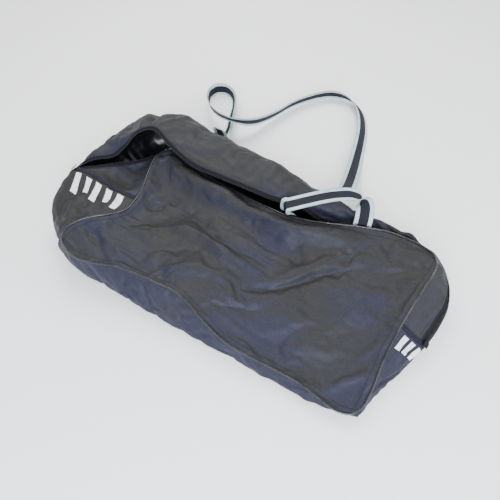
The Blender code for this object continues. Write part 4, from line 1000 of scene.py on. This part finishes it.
def build_stage():
    world = bpy.context.scene.world or bpy.data.worlds.new("studio")
    bpy.context.scene.world = world
    world.use_nodes = True
    world.node_tree.nodes["Background"].inputs["Color"].default_value = (0.95, 0.97, 1.0, 1.0)
    world.node_tree.nodes["Background"].inputs["Strength"].default_value = 1.15
    for name, place, target, size, power, colour in (
        ("key", (-1.0, 1.3, 2.1), (0.0, 0.1, 0.1), 1.6, 48.0, (1.0, 0.98, 0.95)),
        ("fill", (1.3, -2.2, 1.7), (0.1, -0.1, 0.1), 2.0, 185.0, (0.88, 0.93, 1.0)),
        ("rim", (2.1, 1.1, 1.3), (0.1, 0.1, 0.1), 1.4, 22.0, (1.0, 1.0, 1.0)),
    ):
        data = bpy.data.lights.new(name, "AREA")
        data.size = size
        data.energy = power
        data.color = colour
        made = bpy.data.objects.new(name, data)
        made.location = place
        made.rotation_euler = (Vector(target) - Vector(place)).to_track_quat("-Z", "Y").to_euler()
        bpy.context.scene.collection.objects.link(made)
    data = bpy.data.meshes.new("floor")
    corners = [(30 * x, 30 * y, -0.0005) for x, y in ((-1, -1), (1, -1), (1, 1), (-1, 1))]
    data.from_pydata(corners, [], [(0, 1, 2, 3)])
    floor = bpy.data.objects.new("floor", data)
    bpy.context.scene.collection.objects.link(floor)
    paint = Finish("pale_floor")
    paint.inputs["Base Color"].default_value = (0.97, 0.97, 0.97, 1.0)
    paint.inputs["Roughness"].default_value = 0.9
    data.materials.append(paint.made)


# ---------------------------------------------------------------- panels
def panel(name, grid, height, replaced, spare, frames, painted_light_bias=0.0):
    """A fabric panel: its surface pushed out by the folds, crumpled a little, then thickened."""
    fade = edge_fade(grid)
    turn = -1 if faces_inward(grid) else 1
    crumple = sum(tall * smooth_noise(grid, size, seed) for tall, size, seed in CRUMPLES)
    grid = grid + turn * ((height + crumple) * fade)[..., None] * grid_normals(grid)
    grid[..., 2] = np.maximum(grid[..., 2], FLOOR_GAP)
    piece = grid_object(name, grid, [POLYESTER, LINING], flip=turn < 0)
    relax(piece, grid.shape[:2], spare, frames)
    final = surface_of(piece, grid.shape[:2])
    low = final[..., 2] < FLOOR_GAP
    if low.any():
        final[..., 2] = np.maximum(final[..., 2], FLOOR_GAP)
        piece.data.vertices.foreach_set("co", final.reshape(-1))
        piece.data.update()
    # Paints the blue light into the cloth's colour, shifted for each piece.
    painted_blue_light_attribute(piece, painted_light_bias)
    shell(piece, CLOTH)
    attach(piece, "bag")
    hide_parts(*replaced)
    return final


def build_front():
    rows = front_surface(210, 150)
    rows = sliced(rows, SEAM_GAP, SEAM_GAP, 110).transpose(1, 0, 2)
    rows = sliced(rows, SEAM_GAP, SEAM_GAP, 220).transpose(1, 0, 2)
    height = folded(rows[..., :2], FRONT_FOLDS)
    height += 0.0035 * smooth_noise(rows[..., :2], 0.22, 11)
    return panel("front_cloth", rows, height, ["front_panel"], spare=0.014, frames=16)


def build_gusset():
    """Both ends and the bottom; gives the surface of each."""
    out = {}
    for name, stations, along, columns, folds, node, painted_light_bias in (
        # Last column: shift of the painted blue light; the left end gets much less, painted as lying in
        # shade.
        ("left_end_cloth", LEFT_END, 80, 70, LEFT_FOLDS, "left_end_panel", -0.45),
        ("bottom_cloth", BOTTOM, 240, 34, BOTTOM_FOLDS, "bottom_panel", 0.0),
        ("right_end_cloth", RIGHT_END, 70, 40, RIGHT_FOLDS, "right_end_panel", 0.0),
    ):
        rows = net(stations, along, FRONT_LOOP_SEAM, BACK_LOOP_SEAM)
        rows = sliced(rows, SEAM_GAP, SEAM_GAP, columns)
        height = folded(even_shares(along, columns), folds)
        out[name] = panel(name, rows, height, [node], spare=0.007, frames=12, painted_light_bias=painted_light_bias)
    return out


def build_zip_panels():
    """Both halves of the zip panel, ending at the zip's own curve where it is closed."""
    back_nodes = ["zip_panel_back_%d" % k for k in (1, 2, 3, 4)]
    for side, way, rows, columns, folds, nodes in (
        ("front", -1, net(ZIP_FRONT, 330, front=FRONT_LOOP_SEAM)[:, ::-1], 22, [], ["zip_panel_front"]),
        ("back", 1, net(ZIP_BACK, 330, back=BACK_LOOP_SEAM), 64, FLAP_FOLDS, back_nodes),
    ):
        for row in rows:
            if ZIP_START.x <= row[0, 0] <= ZIP_END.x - 0.008:
                row[0] = chain(row[0, 0], way)
        cloth = sliced(rows, TAPE_WIDTH - 0.002, SEAM_GAP, columns)
        turn = -1 if faces_inward(cloth) else 1
        height = folded(even_shares(len(rows), columns), folds)
        cloth = panel("zip_cloth_" + side, cloth, height, nodes, spare=0.007, frames=12)
        build_zip_edge(side, rows, turn, cloth)


def build_zip_edge(side, rows, turn, cloth):
    """Zip tape, its teeth, and the panel's turned hem with two rows of stitching."""
    rest = np.array([lengths(row)[-1] for row in rows]) - TAPE_WIDTH
    tape = sliced(rows, 0.0014, rest, 5)
    tape = tape - turn * 0.0009 * grid_normals(tape)
    piece = grid_object("zip_tape_cloth_" + side, tape, [TAPE, TAPE])
    shell(piece, 0.0008, 0.0)
    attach(piece, "bag")
    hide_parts("zip_tape_" + side)

    line = rows[:, 0]
    along = lengths(line)
    marks = np.arange(TOOTH_PITCH, along[-1] - TOOTH_PITCH, TOOTH_PITCH)
    if side == "back":
        marks = marks + TOOTH_PITCH / 2
    centre = read_at(marks, along, line)
    ahead = read_at(marks + LOOK_AHEAD, along, line)
    normal = read_at(marks, along, turn * grid_normals(rows[:, :6])[:, 0])
    heading = np.cross(normal, ahead - centre)
    teeth = small_blocks("zip_teeth_row_" + side, centre, heading, normal, TOOTH, PLASTIC)
    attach(teeth, "bag")
    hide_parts("zip_teeth_" + side)

    normals = turn * grid_normals(cloth)
    hem = cloth[:, 0] + 0.0002 * normals[:, 0]
    fold = tube_mesh("hem_fold_" + side, hem, 0.0011, POLYESTER_EDGE, sides=6)
    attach(fold, "bag")
    step = np.linalg.norm(cloth[:, 1] - cloth[:, 0], axis=1).mean()
    rows_of_stitches = []
    for gap in (0.0030, 0.0095):
        column = min(max(1, int(round(gap / step))), cloth.shape[1] - 2)
        up = normals[:, column]
        rows_of_stitches.append(stitch_row(cloth[:, column] + 0.0001 * up, up))
    made = joined("hem_stitches_" + side, rows_of_stitches)
    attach(made, "bag")


def build_back():
    """Underside panel, slightly uneven on top, lying flat on the floor."""
    ring = np.asarray(rounded_rectangle(BACK_HALF_X, BACK_HALF_Y, BACK_CORNER, UNDERSIDE_Z, 16, 14), float)
    ring = np.concatenate([ring, ring[:1]])
    middle = np.array([sum(BACK_HALF_X) / 2, sum(BACK_HALF_Y) / 2, UNDERSIDE_Z])
    shares = np.linspace(0.004, 0.9985, 46)
    grid = middle + (ring[None] - middle) * shares[:, None, None]
    rise = 0.0022 * np.clip(smooth_noise(grid[..., :2], 0.13, 21), 0, 2)
    grid[..., 2] += rise * np.clip((1 - shares) / 0.08, 0, 1)[:, None]
    piece = grid_object("back_cloth", grid, [POLYESTER, LINING])
    painted_blue_light_attribute(piece)
    made = piece.modifiers.new("thickness", "SOLIDIFY")
    made.thickness = UNDERSIDE_CLOTH
    made.offset = 0.0
    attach(piece, "bag")
    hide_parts("back_panel")


def build_pipings(front_grid):
    for name, seam, count in (("front_piping", FRONT_LOOP_SEAM, 700), ("back_piping", BACK_LOOP_SEAM, 500)):
        points = seam.at(np.linspace(0, seam.length, count, endpoint=False))
        uneven = 0.0006 * smooth_noise(points, 0.05, 8)
        points = points + np.array([0, 0, 1.0]) * np.maximum(uneven, -0.0004)[:, None]
        if name == "back_piping":
            points[:, 2] = np.maximum(points[:, 2], PIPING_RADIUS)
        made = tube_mesh(name + "_cord", points, PIPING_RADIUS, PIPING, closed=True, sides=10)
        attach(made, "bag")
        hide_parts(name)
    normals = grid_normals(front_grid)
    if normals[..., 2].mean() < 0:
        normals = -normals
    ring = [(front_grid[:, 4], normals[:, 4]), (front_grid[:, -5], normals[:, -5]),
            (front_grid[4], normals[4]), (front_grid[-5], normals[-5])]
    made = joined("front_seam_stitches", [stitch_row(line + 0.0002 * up, up) for line, up in ring])
    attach(made, "bag")


def build_cross_seams(gusset):
    """Raised double-stitched seams where the zip panel meets the ends."""
    for name, cloth, first, step in (
        ("left_cross_seam", "left_end_cloth", 0, 1), ("right_cross_seam", "right_end_cloth", -1, -1),
    ):
        grid = gusset[cloth]
        normals = outer_normals(grid)
        band = np.stack([grid[row] + 0.0009 * normals[row] for row in range(first, first + 4 * step, step)])
        strip = grid_object("band", band, [POLYESTER_EDGE, POLYESTER_EDGE])
        shell(strip, 0.0012, 0.0)
        baked(strip)
        lines = (first + step, first + 3 * step)
        rows = [stitch_row(grid[row] + 0.0017 * normals[row], normals[row]) for row in lines]
        made = joined(name, [strip] + rows)
        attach(made, "bag")


# ---------------------------------------------------------------- marks
def flat_mark(grid, corners, cells):
    """Thin printed patch over a four-cornered field of a surface, given in shares."""
    corners = np.asarray(corners, float)
    s, t = (share[..., None] for share in np.moveaxis(even_shares(cells, cells), -1, 0))
    share = (1 - s) * ((1 - t) * corners[0] + t * corners[3]) + s * ((1 - t) * corners[1] + t * corners[2])
    points, normals = at_share(grid, share[..., 0], share[..., 1])
    return grid_object("bar", points + PRINT_LIFT * normals, [PRINT, PRINT])


def build_marks(gusset):
    """Plain slanted bars printed in white on both ends."""
    for name, cloth, first, step, count, near, ends, wide, lean, cells in (
        ("left_mark", "left_end_cloth", 0.07, 0.085, 5, 0.065, (0.295, 0.235), 0.045, 0.025, 12),
        ("right_mark", "right_end_cloth", 0.10, 0.14, 3, 0.925, (0.76, 0.76), 0.09, 0.03, 10),
    ):
        bars = []
        for k in range(count):
            start, far = first + k * step, ends[k % 2]
            corners = [(near, start), (near, start + wide), (far, start + wide - lean), (far, start - lean)]
            bars.append(flat_mark(gusset[cloth], corners, cells))
        made = joined(name, bars)
        shell(made, 0.0003)
        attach(made, "bag")


# ---------------------------------------------------------------- handles
def strap_grid(stations, count, columns=13):
    """Centre line grid of a strap through its stations, a little cupped and uneven."""
    route = np.array([place for place, _ in stations], float)
    width = np.array([side for _, side in stations], float)
    knots = lengths(route)
    even = np.linspace(0, knots[-1], count)
    centre = hermite(route, knots, even)
    side = hermite(width, knots, even)
    heading = unit(np.gradient(centre, axis=0))
    side = unit(side - (side * heading).sum(axis=1, keepdims=True) * heading)
    normal = np.cross(heading, side)
    offset = np.linspace(-WEB_WIDTH / 2, WEB_WIDTH / 2, columns)
    cup = 0.0012 * (offset / (WEB_WIDTH / 2)) ** 2
    wave = 0.0007 * smooth_noise(np.stack([even, np.zeros(count)], axis=1), 0.16, 31)
    grid = centre[:, None] + side[:, None] * offset[None, :, None]
    grid = grid + normal[:, None] * (cup[None, :, None] + wave[:, None, None])
    along = lengths(centre)
    uv = np.stack(np.broadcast_arrays(along[:, None], np.linspace(0, 1, columns)[None]), axis=-1)
    return grid, uv


def strap(name, stations, count, replaced, keep):
    """Half a handle with its sewn end: the strap up to the share keep, or its last share when keep is
    negative.
    """
    grid, uv = strap_grid(stations, count)
    cut = int(round(keep * count))
    grid, uv = (grid[:cut + 1], uv[:cut + 1]) if keep > 0 else (grid[cut:], uv[cut:])
    grid[..., 2] = np.maximum(grid[..., 2], 0.0015)
    piece = grid_object(name, grid, [WEBBING, WEBBING], uv)
    made = piece.modifiers.new("thickness", "SOLIDIFY")
    made.thickness = WEB_THICKNESS
    made.offset = 0.0
    rounded = piece.modifiers.new("rounded edges", "BEVEL")
    rounded.width = 0.0007
    rounded.segments = 2
    baked(piece)
    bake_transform(piece)
    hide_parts(*replaced)


def build_handles():
    """Each handle as two halves that meet partway along the webbing."""
    whole = FRONT_LEFT_ANCHOR[::-1] + FRONT_LOOP[1:-1] + FRONT_RIGHT_ANCHOR
    strap("front_strap_left", whole, 150,
          ["front_handle", "front_handle_anchor_left"], 0.55)
    strap("front_strap_right", whole, 150,
          ["front_handle_anchor_right"], -0.45)
    whole = BACK_LEFT_ANCHOR[-2::-1] + BACK_LOOP[1:-1] + BACK_RIGHT_ANCHOR
    strap("back_strap_left", whole, 620,
          ["back_handle", "back_handle_anchor_left"], 0.62)
    strap("back_strap_right", whole, 620,
          ["back_handle_anchor_right"], -0.38)


def bar_tack(centre, heading, across, normal):
    """Dense stitched box, with a cross in it, where a strap is sewn down."""
    long, wide = TACK_LONG * unit(heading), TACK_WIDE * unit(across)
    centres, ways = [], []
    for k in np.linspace(-0.5, 0.5, 15):
        for edge in (-0.5, 0.5):
            centres += [centre + long * edge + wide * k, centre + long * k + wide * edge]
            ways += [wide, long]
        for cross in (-1, 1):
            centres.append(centre + long * k + wide * k * cross)
            ways.append(long + wide * cross)
    normals = np.broadcast_to(normal, (len(centres), 3))
    return small_blocks("tack", np.array(centres), np.array(ways), normals, (0.0026, 0.0008, 0.0008), THREAD)


def build_bar_tacks():
    tacks = []
    for route in (FRONT_RIGHT_ANCHOR, BACK_LEFT_ANCHOR[:-1], BACK_RIGHT_ANCHOR):
        places = np.array([place for place, _ in route], float)
        side = np.array(route[-1][1], float)
        centre = (places[-1] + places[-2]) / 2
        heading = places[-1] - places[-2]
        normal = unit(np.cross(heading, side))
        if normal @ (centre - TACK_BEHIND) < 0:
            normal = -normal
        tacks.append(bar_tack(centre + normal * 0.0016, heading, side, normal))
    made = joined("handle_stitches", tacks)
    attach(made, "bag")


# ---------------------------------------------------------------- the whole bag
build_camera()
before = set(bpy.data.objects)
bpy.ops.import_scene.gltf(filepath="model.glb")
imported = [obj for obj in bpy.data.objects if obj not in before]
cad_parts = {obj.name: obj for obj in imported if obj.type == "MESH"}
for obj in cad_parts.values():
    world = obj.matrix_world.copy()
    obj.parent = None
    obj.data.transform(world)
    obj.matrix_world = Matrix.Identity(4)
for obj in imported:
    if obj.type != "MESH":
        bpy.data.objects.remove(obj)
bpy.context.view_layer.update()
build_stage()

POLYESTER = polyester_material()
POLYESTER_EDGE = plain_material("turned_hem", (0.008, 0.009, 0.020), 0.55, shine=0.2)
LINING = lining_material()
PIPING = piping_material()
WEBBING = webbing_material()
TAPE = plain_material("woven_zip_tape", (0.008, 0.008, 0.010), 0.85, grain=900.0, shine=0.15)
PLASTIC = plain_material("moulded_teeth", (0.012, 0.012, 0.014), 0.35)
METAL = plain_material("dark_nickel", (0.20, 0.20, 0.21), 0.32, 1.0, 300.0, 0.0001)
THREAD = plain_material("sewing_thread", (0.010, 0.010, 0.014), 0.90, grain=400.0, shine=0.1)
PRINT = plain_material("white_print", (0.74, 0.76, 0.78), 0.55)
PLAIN_WEB = plain_material("plain_webbing", (0.010, 0.010, 0.012), 0.85, grain=500.0, shine=0.15)

front_grid = build_front()
gusset_pieces = build_gusset()
build_zip_panels()
build_back()
build_pipings(front_grid)
build_cross_seams(gusset_pieces)
build_marks(gusset_pieces)
build_handles()
build_bar_tacks()
for node, finish, slot in (("zip_slider", METAL, "zip_metal"), ("slider_bridge", METAL, "zip_metal"),
                           ("zip_pull", METAL, "zip_metal"), ("zip_end_left", PLAIN_WEB, "webbing"),
                           ("zip_end_right", PLAIN_WEB, "webbing")):
    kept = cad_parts[node].data
    kept.materials.clear()
    kept.materials.append(finish)
